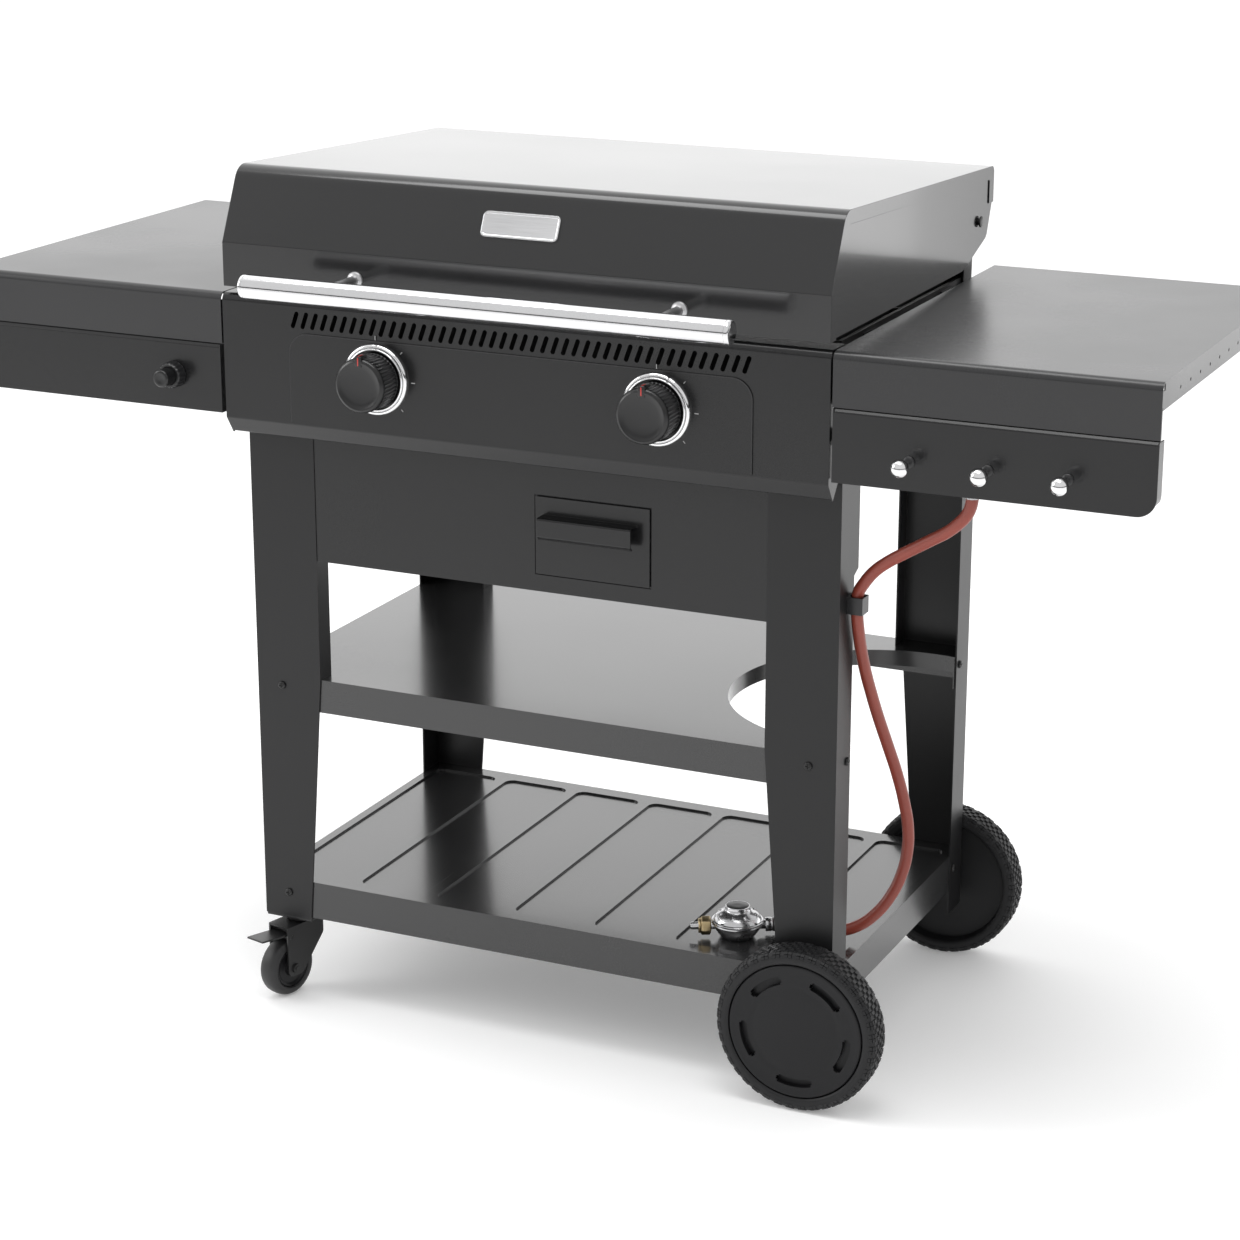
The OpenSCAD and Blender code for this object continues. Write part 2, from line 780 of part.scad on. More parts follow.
module burners() {
  color("silver") placed() both_sides() {
    difference() {
      rod_y(knob_x, burner_y0, burner_y1, knob_z, burner_d);
      rod_y(knob_x, burner_y0 - 1, burner_y1 - 2, knob_z, burner_d - 2*sheet);
      for (side = [-1, 1], i = [0:port_count - 1])
        translate([knob_x, port_y0 + i*port_pitch, knob_z]) rotate([0, port_tilt*side, 0])
          cylinder(d = port_d, h = burner_d, $fn = 16);
    }
    block(knob_x - 10, knob_x + 10, burner_y1 - 1, box_y1 - sheet, knob_z - 1, knob_z + 1);
  }
}

module heat_plates() {
  color("gray") placed() both_sides() translate([knob_x, 0, 0]) along_y(box_y0 + sheet, box_y1 - sheet)
    polygon([[-flame_half, flame_z - flame_rise], [0, flame_z], [flame_half, flame_z - flame_rise],
             [flame_half, flame_z - flame_rise - flame_t], [0, flame_z - flame_t],
             [-flame_half, flame_z - flame_rise - flame_t]]);
}

module grate() {
  x0 = grate_gap/2;
  x1 = box_half - sheet - gap;
  y0 = box_y0 + sheet + gap;
  y1 = box_y1 - sheet - gap;
  pitch = (x1 - x0 - bar_w)/(bar_count - 1);
  for (i = [0:bar_count - 1])
    block(x0 + pitch*i, x0 + pitch*i + bar_w, y0, y1, ledge_z, ledge_z + grate_t);
  for (y = [y0, (y0 + y1 - bar_w)/2, y1 - bar_w])
    block(x0, x1, y, y + bar_w, ledge_z, ledge_z + grate_t - 2);
}

module cooking_grates() { color("dimgray") placed() both_sides() grate(); }

module electrode() {
  color("white") placed() {
    rod_y(electrode_x, electrode_y, box_y0 + 22, electrode_z, electrode_d);
    rod_y(electrode_x, box_y0 + 21, box_y0 + 28, electrode_z, 2.5);
    block(electrode_x - 12, electrode_x + 6, box_y0 - plate_t, box_y0, electrode_z - 10, electrode_z + 10);
  }
}

module ignition_wire() {
  color("black") placed() swept(wire_route, wire_d, 8);
}

// A side table at the right; the left one is mirrored from it
module table_form() {
  path = rounded([[table_y0, table_front_z], [table_y0, deck_h], [table_y1, deck_h],
                  [table_y1, deck_h - table_side_h]], [0, edge_r, 3, 0]);
  difference() {
    union() {
      along_x(table_x0, table_x1) polygon(folded(path, sheet));
      block(table_x1 - sheet, table_x1, table_y0 + 1, table_y1 - 1, deck_h - table_side_h, deck_h - edge_r);
      block(table_x1 - sheet, table_x1, table_y0 + edge_r, table_y1 - 3, deck_h - edge_r, deck_h - 0.5);
      block(table_x0, table_x0 + sheet, table_y0 + edge_r, table_y1 - 3, table_front_z, deck_h - 0.5);
    }
    for (i = [0:table_hole_count - 1])
      rod_x(table_x1 - sheet - 1, table_x1 + 1, table_y0 + table_hole_in + i*table_hole_pitch,
            deck_h - table_hole_drop, table_hole_d);
  }
}

module side_table_left() { color("gray") placed() mirror([1, 0, 0]) table_form(); }
module side_table_right() { color("gray") placed() table_form(); }

// Channels between the firebox and the side tables
module table_brackets() {
  z0 = table_bracket_z;
  z1 = z0 + table_bracket_h;
  color("dimgray") placed() both_sides()
    for (y = [box_y0 + table_bracket_in, box_y1 - table_bracket_in - table_bracket_w]) {
      block(box_half, box_half + plate_t, y, y + table_bracket_w, z0, z1);
      block(box_half, table_x0, y, y + table_bracket_w, z0, z0 + plate_t);
      block(table_x0 - plate_t, table_x0, y, y + table_bracket_w, z0, z1);
    }
}

module apron_form() {
  y0 = table_y0 - apron_out;
  path = rounded([[y0, apron_z], [y0, table_front_z - 4.5], [table_y0 + sheet, table_front_z - 0.5],
                  [table_y0 + sheet, table_front_z + apron_tab]], [0, 2.5, 0, 0]);
  intersection() {
    union() {
      along_x(table_x0 + sheet, table_x1) polygon(folded(path, sheet));
      block(table_x1 - sheet, table_x1, y0, y0 + apron_side, apron_z, table_front_z - 2);
      block(table_x0 + sheet, table_x0 + 2*sheet, y0, y0 + apron_side, apron_z, table_front_z - 1);
    }
    along_y(y0 - 1, y0 + apron_side + 1) polygon(concat(
      [[table_x0, apron_z], [table_x0, deck_h]], [[table_x1, deck_h]],
      corner([table_x1, deck_h], [table_x1, apron_z], [table_x0, apron_z], apron_r)));
  }
}

module table_apron_left() {
  color("dimgray") placed() difference() {
    mirror([1, 0, 0]) apron_form();
    rod_y(igniter_x, table_y0 - apron_out - 1, table_y0, igniter_z, igniter_body_d + 2*fit);
  }
}

module table_apron_right() {
  color("dimgray") placed() difference() {
    apron_form();
    for (i = [-1:1]) rod_y(hook_x + i*hook_pitch, table_y0 - apron_out - 1, table_y0, hook_z, hook_stem);
  }
}

module tool_hooks() {
  color("silver") placed() for (i = [-1:1]) {
    rod_y(hook_x + i*hook_pitch, table_y0 - apron_out - hook_reach, table_y0 + 6, hook_z, hook_stem);
    translate([hook_x + i*hook_pitch, table_y0 - apron_out - hook_reach, hook_z]) sphere(d = hook_ball);
  }
}

module igniter_housing() {
  y0 = table_y0 - apron_out;
  color("black") placed() difference() {
    union() {
      rod_y(igniter_x, y0 - igniter_collar_l, y0, igniter_z, igniter_collar_d);
      rod_y(igniter_x, y0 - 1, y0 + igniter_body_l + 2, igniter_z, igniter_body_d);
      rod_y(igniter_x, y0 + sheet, y0 + sheet + igniter_nut_l, igniter_z, igniter_nut_d);
    }
    rod_y(igniter_x, y0 - igniter_collar_l - 1, y0 + igniter_bore, igniter_z, igniter_d + 2*fit);
  }
}

module igniter_button() {
  y0 = table_y0 - apron_out - igniter_collar_l;
  color("black") placed() {
    rod_y(igniter_x, y0 - igniter_proud + 2, y0 + igniter_hidden, igniter_z, igniter_d);
    translate([igniter_x, y0 - igniter_proud + 2, igniter_z]) rotate([90, 0, 0])
      cylinder(d1 = igniter_d, d2 = igniter_d - 4, h = 2);
  }
}

// Corners of the hood, from its front edge over the top to the rear lip
hood_corners = [[hood_y0, hood_z0], [hood_y0, hood_z0 + hood_face_h], [hood_y0 + hood_lean, hood_z1],
                [hood_y1, hood_z1 - hood_fall], [hood_y1, hood_z1 - hood_fall - hood_lip]];

// The same corners, inset by t, with their edges rounded
function hood_path(t) = rounded([for (i = [0:4]) hood_corners[i] - t*miter(hood_corners, i)],
  [0, 4, max(hood_front_r - t, 3), max(hood_back_r - t, 3), 0]);
function reversed(p) = [for (i = [len(p) - 1:-1:0]) p[i]];

module hood_shell() {
  color("gray") placed() {
    along_x(-hood_half, hood_half) polygon(concat(hood_path(0), reversed(hood_path(sheet))));
    both_sides() along_x(hood_half - sheet, hood_half)
      polygon(concat(hood_path(0), reversed(hood_path(hood_border))));
  }
}

module hood_end() {
  low = hood_z0 + hood_end_up;
  tail = [hood_y1 - hood_tail[0], hood_z0 + hood_tail[1]];
  bend = [hood_y1 - hood_tail_in, low];
  difference() {
    along_x(hood_end_x - sheet, hood_end_x) polygon(concat(
      reversed(hood_path(sheet)), [[hood_y0 + hood_border, low]],
      corner([hood_y0 + hood_border, low], bend, tail, hood_tail_r),
      corner(bend, tail, [hood_y1 - sheet, hood_z1 - hood_fall - hood_lip], hood_corner_r)));
    rod_x(hood_end_x - sheet - 1, hood_end_x + 1, hinge_y, hinge_z, hinge_d + 2*fit);
  }
}

module hood_end_left() { color("gray") placed() mirror([1, 0, 0]) hood_end(); }
module hood_end_right() { color("gray") placed() hood_end(); }

module hood_badge() {
  y0 = hood_y0 + hood_lean*0.5;
  lean = atan2(hood_lean, hood_h - hood_face_h);
  color("silver") placed() translate([0, y0, hood_z0 + hood_face_h + (hood_h - hood_face_h)*0.5])
    rotate([-lean, 0, 0]) along_y(-badge_t, -fit) round_rect(-badge_w/2, badge_w/2, -badge_h/2, badge_h/2, 6);
}

module handle_tube() {
  color("silver") placed() difference() {
    rod_x(-handle_l/2, handle_l/2, handle_y, handle_z, handle_d);
    rod_x(-handle_l/2 - 1, handle_l/2 + 1, handle_y, handle_z, handle_d - 2*handle_wall);
  }
}

module handle_posts() {
  color("silver") placed() both_sides() difference() {
    union() {
      rod_y(handle_post_gap/2, handle_y, hood_y0, handle_z, post_d);
      rod_y(handle_post_gap/2, hood_y0 - post_foot_l, hood_y0, handle_z, post_foot_d);
    }
    rod_x(0, handle_l, handle_y, handle_z, handle_d);
  }
}

module handle_caps() {
  color("silver") placed() both_sides() {
    rod_x(handle_l/2, handle_l/2 + handle_cap - cap_chamfer, handle_y, handle_z, handle_d);
    translate([handle_l/2 + handle_cap - cap_chamfer, handle_y, handle_z]) rotate([0, 90, 0])
      cylinder(d1 = handle_d, d2 = handle_d - 2*cap_chamfer, h = cap_chamfer);
    rod_x(handle_l/2 - cap_plug, handle_l/2, handle_y, handle_z, handle_d - 2*handle_wall - 4*fit);
  }
}

module hinge_brackets() {
  color("dimgray") placed() both_sides() difference() {
    along_x(box_half, box_half + hinge_plate) polygon(rounded([
      [hinge_y - 26, box_z1 - hinge_foot], [hinge_y - 14, hinge_z + hinge_top],
      [hinge_y + 12, hinge_z + hinge_top], [hinge_y + 7, box_z1 - hinge_foot]], [0, hinge_r, hinge_r, 0]));
    rod_x(box_half - 1, box_half + hinge_plate + 1, hinge_y, hinge_z, hinge_d + 2*fit);
  }
}

module hinge_pins() {
  color("black") placed() both_sides() {
    rod_x(box_half - 4, hood_half + gap, hinge_y, hinge_z, hinge_d);
    rod_x(hood_half + gap, hood_half + gap + hinge_head_l, hinge_y, hinge_z, hinge_head_d);
    rod_x(box_half + hinge_plate, hood_end_x - sheet - gap, hinge_y, hinge_z, hinge_d + 4);
  }
}

module grease_tray() {
  pull_y = tray_front - sheet;
  pull_z = tray_z0 + tray_h - pull_drop;
  pull = rounded([[pull_y - pull_out + pull_lip, pull_z - pull_h - pull_lip], [pull_y - pull_out, pull_z - pull_h],
                  [pull_y - pull_out, pull_z], [pull_y, pull_z]], [0, 3, 3, 0]);
  z1 = tray_z0 + tray_box_h + tray_rim;
  color("dimgray") placed() translate([tray_x, 0, 0]) {
    block(-tray_w/2, tray_w/2, tray_front - sheet, tray_front, tray_z0, tray_z0 + tray_h);
    difference() {
      union() {
        block(-tray_box_half, tray_box_half, tray_front, tray_depth, z1 - tray_box_h, z1);
        block(-tray_box_half - tray_wing, tray_box_half + tray_wing, tray_front + wing_y, tray_depth,
              z1 - sheet, z1);
      }
      block(-tray_box_half + sheet, tray_box_half - sheet, tray_front + sheet, tray_depth - sheet,
            z1 - tray_box_h + sheet, z1 + 1);
    }
    along_x(-pull_w/2 - pull_shift, pull_w/2 - pull_shift) polygon(folded(pull, sheet));
  }
}

module tray_rails() {
  rim = tray_z0 + tray_box_h + tray_rim;
  low = rim - sheet - gap;
  y1 = tray_depth + rail_more;
  color("silver") placed() translate([tray_x, 0, 0]) both_sides() {
    block(rail_x, rail_x + sheet, rail_y0, y1, low - sheet, box_z0);
    block(rail_x - tray_wing + gap, rail_x + sheet, rail_y0, y1, low - sheet, low);
    block(rail_x - tray_wing, rail_x + sheet, rail_y0, y1, rim + gap, rim + gap + sheet);
  }
}

module axle() {
  tip = wheel_gap + wheel_w - cap_t - 1;
  color("silver") placed() rod_y(wheel_x, -tip, cart_d + tip, wheel_z, axle_d);
}

module axle_nuts() {
  y0 = -wheel_gap - wheel_w + wheel_dish - gap;
  color("silver") placed() for (far = [0, 1])
    translate([0, far*cart_d, 0]) mirror([0, far, 0]) difference() {
      translate([wheel_x, y0, wheel_z]) rotate([90, 0, 0]) cylinder(d = nut_d, h = nut_l, $fn = 6);
      rod_y(wheel_x, y0 - nut_l - 1, y0 + 1, wheel_z, axle_d + 2*fit);
    }
}

// A big wheel at the front; its outer face is at the front
module wheel_form() {
  r = wheel_d/2;
  y0 = -wheel_gap - wheel_w;
  translate([wheel_x, y0, wheel_z]) rotate([-90, 0, 0]) difference() {
    rotate_extrude($fn = fine) polygon(concat(
      [[0, wheel_dish], [hub_d/2, wheel_dish], [hub_d/2 + 3, wheel_dish + 5],
       [r - wheel_rim - 7, wheel_dish + 5], [r - wheel_rim - 6, wheel_dish], [r - wheel_rim, wheel_dish],
       [r - wheel_rim, 2], [r - wheel_rim + 3, 0]],
      corner([r - wheel_rim, 0], [r, 0], [r, wheel_w], 7), corner([r, 0], [r, wheel_w], [0, wheel_w], 7),
      [[r - wheel_rim + 3, wheel_w], [r - wheel_rim, wheel_w - 2], [r - wheel_rim - 2, wheel_w - 14],
       [hub_d/2 + 4, wheel_w - 14], [hub_d/2, wheel_w + wheel_gap - gap], [0, wheel_w + wheel_gap - gap]]));
    translate([0, 0, -1]) cylinder(d = axle_d + 2*fit, h = wheel_w + 10);
  }
}

// The disc that closes the wheel's outer face, with curved slots
module cap_form() {
  y0 = -wheel_gap - wheel_w;
  translate([wheel_x, y0, wheel_z]) rotate([-90, 0, 0]) difference() {
    union() {
      cylinder(r = cap_r, h = cap_t, $fn = fine);
      translate([0, 0, cap_t - 1]) difference() {
        cylinder(r = cap_r, h = wheel_dish - cap_t + 1, $fn = fine);
        translate([0, 0, -1]) cylinder(r = cap_r - 3, h = wheel_dish, $fn = fine);
      }
    }
    for (i = [0:cap_slots - 1])
      rotate([0, 0, 360*i/cap_slots + 18]) translate([0, 0, -1])
        curved_slot(cap_slot_r, cap_slot_w, cap_slot_angle, cap_t + 2);
  }
}

// A slot bent round the Z axis
module curved_slot(r, w, angle, h) {
  rotate([0, 0, -angle/2]) rotate_extrude(angle = angle, $fn = fine) translate([r - w/2, 0]) square([w, h]);
  for (s = [-1, 1]) rotate([0, 0, s*angle/2]) translate([r, 0, 0]) cylinder(d = w, h = h);
}

module wheel_rear_place() {
  translate([0, cart_d, 0]) mirror([0, 1, 0]) children();
}

module wheel_front() { color("black") placed() wheel_form(); }
module wheel_rear() { color("black") placed() wheel_rear_place() wheel_form(); }
module wheel_cap_front() { color("dimgray") placed() cap_form(); }
module wheel_cap_rear() { color("dimgray") placed() wheel_rear_place() cap_form(); }

// Puts its child at the swivel axis of the front or the rear caster
module caster_place(rear) {
  placed() translate([caster_x, rear ? cart_d - caster_y : caster_y, 0]) children();
}

module caster_mounts() {
  color("dimgray") for (rear = [false, true]) caster_place(rear) {
    translate([0, 0, caster_top - caster_plate]) mirror([0, rear ? 1 : 0, 0])
      linear_extrude(caster_plate) round_rect(-33, 32, -caster_y, 26, 3);
    translate([0, 0, fork_z + fork_t + gap])
      cylinder(d = caster_race_d, h = caster_top - caster_plate - fork_z - fork_t - gap);
    translate([0, 0, fork_z - king_flange])
      cylinder(d = king_d, h = caster_top - fork_z + king_flange - caster_plate);
    translate([0, 0, fork_z - king_flange]) cylinder(d = king_d + 6, h = king_flange - gap);
  }
}

module caster_fork(rear) {
  inner = caster_w/2 + fork_gap;
  outer = inner + fork_t;
  r = caster_d/2;
  nose = -caster_trail - fork_nose;
  tip = [-caster_trail + fork_nose, r - fork_low];
  tail = [fork_tail, fork_z - fork_drop];
  color("black") caster_place(rear) rotate([0, 0, -caster_turn]) difference() {
    union() {
      difference() {
        block(-outer, outer, nose, fork_tail, fork_z, fork_z + fork_t);
        translate([0, 0, fork_z - 1]) cylinder(d = king_d + 2*fit, h = fork_t + 2);
      }
      for (x = [-outer, inner]) along_x(x, x + fork_t) polygon(concat(
        [[fork_tail, fork_z + fork_t], [nose, fork_z + fork_t], [nose, fork_z - fork_drop]],
        corner([nose, fork_z - fork_drop], [nose, r - fork_low], tip, 9),
        corner([nose, r - fork_low], tip, tail, 7),
        corner(tip, tail, [fork_tail, fork_z + fork_t], 8)));
      rod_x(-outer - axle_head - 1, outer + axle_head + 1, -caster_trail, r, caster_axle_d);
      both_sides() rod_x(outer, outer + axle_head, -caster_trail, r, caster_axle_d + 6);
    }
    rod_x(-outer - 1, outer + 1, -caster_trail - brake_back, brake_z, brake_pin_d + 2*fit);
  }
}

module caster_wheel(rear) {
  r = caster_d/2;
  w = caster_w/2;
  half_form = [[10, w], [12, w - 4], [r - 12, w - 4], [r - 10, w - 1]];
  color("black") caster_place(rear) rotate([0, 0, -caster_turn])
    translate([0, -caster_trail, r]) rotate([0, 90, 0]) difference() {
      rotate_extrude($fn = fine) polygon(concat(
        [[0, w]], half_form, corner([r - 12, w], [r, w], [r, 0], 7), corner([r, 0], [r, -w], [r - 12, -w], 7),
        [for (p = reversed(half_form)) [p[0], -p[1]]], [[0, -w]]));
      translate([0, 0, -w - 1]) cylinder(d = caster_axle_d + 2*fit, h = 2*w + 2);
    }
}

module caster_brake(rear) {
  inner = caster_w/2 + fork_gap;
  color("gray") caster_place(rear) rotate([0, 0, -caster_turn])
    translate([0, -caster_trail - brake_back, brake_z]) {
      rod_x(-inner - fork_t, inner + fork_t, 0, 0, brake_pin_d);
      rod_x(-inner + gap, inner - gap, 0, 0, brake_pin_d + 3);
      along_x(-inner + gap, inner - gap)
        polygon([[0, 4], [-brake_l, brake_rise], [-brake_l - 1, brake_rise - 2], [0, 1]]);
    }
}

module caster_fork_front() { caster_fork(false); }
module caster_fork_rear() { caster_fork(true); }
module caster_wheel_front() { caster_wheel(false); }
module caster_wheel_rear() { caster_wheel(true); }
module caster_brake_front() { caster_brake(false); }
module caster_brake_rear() { caster_brake(true); }

module hose_clip() {
  color("black") placed() difference() {
    block(half_w, half_w + clip_out, hose_clip_y - clip_w/2, hose_clip_y + clip_w/2,
          hose_clip_z - clip_h/2, hose_clip_z + clip_h/2);
    translate([hose_clip_x, hose_clip_y, hose_clip_z - clip_h])
      cylinder(d = hose_d + 2*clip_room, h = 2*clip_h);
  }
}

module gas_hose() {
  color("brown") placed() swept(hose_route, hose_d, 10);
}

// Puts its child at the regulator, with +X towards the hose
module regulator_place() {
  placed() translate([hose_end[0], hose_end[1], 0]) rotate([0, 0, regulator_turn])
    translate([-regulator_reach, 0, 0]) children();
}

module regulator() {
  r = regulator_d/2;
  color("lightgray") regulator_place() {
    translate([0, 0, regulator_z]) rotate_extrude($fn = fine) polygon([
      [0, 0], [r - 12, 0], [r - 3, 12], [r - 2, 17], [r, 18], [r, 22], [r - 2, 23], [r - 6, 30], [r - 16, 34],
      [r - regulator_cap, regulator_h], [0, regulator_h]]);
    rod_x(r - 8, regulator_reach - 6, 0, hose_end[2], 11);
    rod_x(regulator_reach - 8, regulator_reach, 0, hose_end[2], hose_d + 3);
    rod_x(-r - spout_l, -r + 8, 0, hose_end[2], spout_d);
  }
}

module regulator_nut() {
  r = regulator_d/2;
  color("goldenrod") regulator_place() difference() {
    translate([-r - union_l - 1, 0, hose_end[2]]) rotate([0, 90, 0])
      cylinder(d = union_d, h = union_l, $fn = 6);
    rod_x(-r - union_l - 2, -r + 2, 0, hose_end[2], spout_d + 2*fit);
  }
}

leg_front_left();
leg_front_right();
leg_rear_left();
leg_rear_right();
leg_screws();
bottom_shelf();
middle_shelf();
front_crosspiece();
rear_crosspiece();
side_rails();
firebox();
control_panel();
knob_bezels();
knob_left();
knob_right();
valve_stem_left();
valve_stem_right();
gas_valves();
gas_manifold();
burners();
heat_plates();
cooking_grates();
electrode();
ignition_wire();
side_table_left();
side_table_right();
table_brackets();
table_apron_left();
table_apron_right();
tool_hooks();
igniter_housing();
igniter_button();
hood_shell();
hood_end_left();
hood_end_right();
hood_badge();
handle_tube();
handle_posts();
handle_caps();
hinge_brackets();
hinge_pins();
grease_tray();
tray_rails();
axle();
axle_nuts();
wheel_front();
wheel_rear();
wheel_cap_front();
wheel_cap_rear();
caster_mounts();
caster_fork_front();
caster_fork_rear();
caster_wheel_front();
caster_wheel_rear();
caster_brake_front();
caster_brake_rear();
hose_clip();
gas_hose();
regulator();
regulator_nut();
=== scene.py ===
import json
from math import cos, pi, radians, sin

import bmesh
import bpy
from mathutils import Matrix, Vector


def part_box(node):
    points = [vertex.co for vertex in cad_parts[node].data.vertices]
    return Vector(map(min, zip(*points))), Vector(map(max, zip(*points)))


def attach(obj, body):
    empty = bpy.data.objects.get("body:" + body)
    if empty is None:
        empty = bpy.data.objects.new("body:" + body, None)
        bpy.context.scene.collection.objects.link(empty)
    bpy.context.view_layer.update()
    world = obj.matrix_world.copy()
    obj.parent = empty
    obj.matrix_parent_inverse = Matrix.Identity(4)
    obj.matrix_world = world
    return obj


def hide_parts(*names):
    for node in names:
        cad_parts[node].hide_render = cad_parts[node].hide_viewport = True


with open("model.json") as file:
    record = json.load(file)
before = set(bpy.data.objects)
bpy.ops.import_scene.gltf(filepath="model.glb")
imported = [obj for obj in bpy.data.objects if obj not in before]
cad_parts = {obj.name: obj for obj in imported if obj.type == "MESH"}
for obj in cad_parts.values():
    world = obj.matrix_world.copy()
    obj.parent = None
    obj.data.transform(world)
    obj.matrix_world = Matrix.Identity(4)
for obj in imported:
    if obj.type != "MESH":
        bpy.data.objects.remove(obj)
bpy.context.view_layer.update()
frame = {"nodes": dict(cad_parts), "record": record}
nodes = frame["nodes"]
mm = 0.001
frontLegs = -0.1805  # y of the front face of the front legs


# Camera, floor and light

studio = {
    "cameraPlace": (1.5537, -3.2903, 1.6185),
    "cameraTurn": 24.9,  # degrees to the right of straight ahead
    "cameraTilt": 17.25,  # degrees down
    "lens": 90.4,
    "floorSize": 60.0,
    "floorColor": (0.9, 0.9, 0.9, 1),
    "floorGlow": 0.2,
    "floorRough": 0.9,
    "worldColor": (1.0, 1.0, 1.0, 1),
    "frontStrength": 0.8,
    "backStrength": 1.55,
    "backSide": (-0.62, 0.74, 0.26),  # the brighter side of the room
    "sideFrom": 0.2,
    "sideTo": 0.95,
    "darkBelow": 0.06,  # sine of the height above the horizon
    "lightAbove": 0.2,
    "darkStrength": 0.05,
}
softBoxes = {  # place, target, width, height and power
    "overheadLight": ((-0.2, -0.6, 4.2), (0, 0, 0.9), 3.6, 1.4, 75),
    "leftLight": ((-3.6, -1.6, 2.2), (0, 0, 0.8), 1.6, 2.0, 45),
    "rearLight": ((2.2, 2.6, 0.6), (0.38, 0, 0.4), 1.8, 0.9, 8),
}


def aimAt(thing, target):
    direction = Vector(target) - thing.location
    thing.rotation_euler = direction.to_track_quat("-Z", "Y").to_euler()


def makeCamera():
    data = bpy.data.cameras.new("camera")
    data.lens = studio["lens"]
    data.sensor_width = 36
    data.clip_end = 100
    camera = bpy.data.objects.new("camera", data)
    camera.location = studio["cameraPlace"]
    camera.rotation_euler = (radians(90 - studio["cameraTilt"]), 0, radians(studio["cameraTurn"]))
    bpy.context.scene.collection.objects.link(camera)
    bpy.context.scene.camera = camera


def softBox(name, place, target, width, height, power):
    data = bpy.data.lights.new(name, "AREA")
    data.shape = "RECTANGLE"
    data.size = width
    data.size_y = height
    data.energy = power
    lamp = bpy.data.objects.new(name, data)
    lamp.location = place
    aimAt(lamp, target)
    bpy.context.scene.collection.objects.link(lamp)


def fadeNode(tree, start, end):
    node = tree.nodes.new("ShaderNodeMapRange")
    node.interpolation_type = "SMOOTHSTEP"
    node.inputs["From Min"].default_value = start
    node.inputs["From Max"].default_value = end
    return node


def makeWorld():
    world = bpy.data.worlds.new("studio")
    bpy.context.scene.world = world
    world.use_nodes = True
    tree = world.node_tree
    sky = tree.nodes["Background"]
    sky.inputs["Color"].default_value = studio["worldColor"]
    way = tree.nodes.new("ShaderNodeTexCoord")
    side = tree.nodes.new("ShaderNodeVectorMath")
    side.operation = "DOT_PRODUCT"
    side.inputs[1].default_value = studio["backSide"]
    height = tree.nodes.new("ShaderNodeSeparateXYZ")
    band = fadeNode(tree, studio["darkBelow"], studio["lightAbove"])  # the room's front is dark above the floor
    band.inputs["To Min"].default_value = studio["darkStrength"]
    band.inputs["To Max"].default_value = studio["frontStrength"]
    fade = fadeNode(tree, studio["sideFrom"], studio["sideTo"])
    fade.inputs["To Max"].default_value = studio["backStrength"]
    tree.links.new(way.outputs["Generated"], side.inputs[0])
    tree.links.new(way.outputs["Generated"], height.inputs[0])
    tree.links.new(height.outputs["Z"], band.inputs["Value"])
    tree.links.new(side.outputs["Value"], fade.inputs["Value"])
    tree.links.new(band.outputs["Result"], fade.inputs["To Min"])
    tree.links.new(fade.outputs["Result"], sky.inputs["Strength"])


def makeFloor():
    shape = bmesh.new()
    bmesh.ops.create_grid(shape, x_segments=1, y_segments=1, size=studio["floorSize"] / 2)
    mesh = bpy.data.meshes.new("floor")
    shape.to_mesh(mesh)
    shape.free()
    floor = bpy.data.objects.new("floor", mesh)
    bpy.context.scene.collection.objects.link(floor)
    paint = bpy.data.materials.new("floorPaint")
    paint.use_nodes = True
    shader = paint.node_tree.nodes["Principled BSDF"]
    shader.inputs["Base Color"].default_value = studio["floorColor"]
    shader.inputs["Roughness"].default_value = studio["floorRough"]
    shader.inputs["Emission Color"].default_value = studio["floorColor"]
    shader.inputs["Emission Strength"].default_value = studio["floorGlow"]
    floor.data.materials.append(paint)


# Effects shared by the materials

def newGroup(name, inputs, outputs):
    tree = bpy.data.node_groups.new(name, "ShaderNodeTree")
    for label, kind, value in inputs:
        socket = tree.interface.new_socket(name=label, in_out="INPUT", socket_type=kind)
        if value is not None:
            socket.default_value = value
    for label, kind in outputs:
        tree.interface.new_socket(name=label, in_out="OUTPUT", socket_type=kind)
    return tree, tree.nodes.new("NodeGroupInput").outputs, tree.nodes.new("NodeGroupOutput").inputs


def mathNode(tree, operation, first, second, clamp=False):
    node = tree.nodes.new("ShaderNodeMath")
    node.operation = operation
    node.use_clamp = clamp
    for socket, value in zip(node.inputs, (first, second)):
        if isinstance(value, (int, float)):
            socket.default_value = value
        else:
            tree.links.new(value, socket)
    return node.outputs[0]


def noiseNode(tree, vector, scale, detail=3.0, stretch=None):
    if stretch is not None:
        mapping = tree.nodes.new("ShaderNodeMapping")
        tree.links.new(vector, mapping.inputs["Vector"])
        tree.links.new(stretch, mapping.inputs["Scale"])
        vector = mapping.outputs[0]
    node = tree.nodes.new("ShaderNodeTexNoise")
    node.inputs["Detail"].default_value = detail
    tree.links.new(vector, node.inputs["Vector"])
    if isinstance(scale, (int, float)):
        node.inputs["Scale"].default_value = scale
    else:
        tree.links.new(scale, node.inputs["Scale"])
    return node.outputs[0]


def mixColor(tree, factor, first, second):
    node = tree.nodes.new("ShaderNodeMix")
    node.data_type = "RGBA"
    node.clamp_factor = True
    tree.links.new(factor, node.inputs[0])
    tree.links.new(first, node.inputs[6])
    tree.links.new(second, node.inputs[7])
    return node.outputs[2]


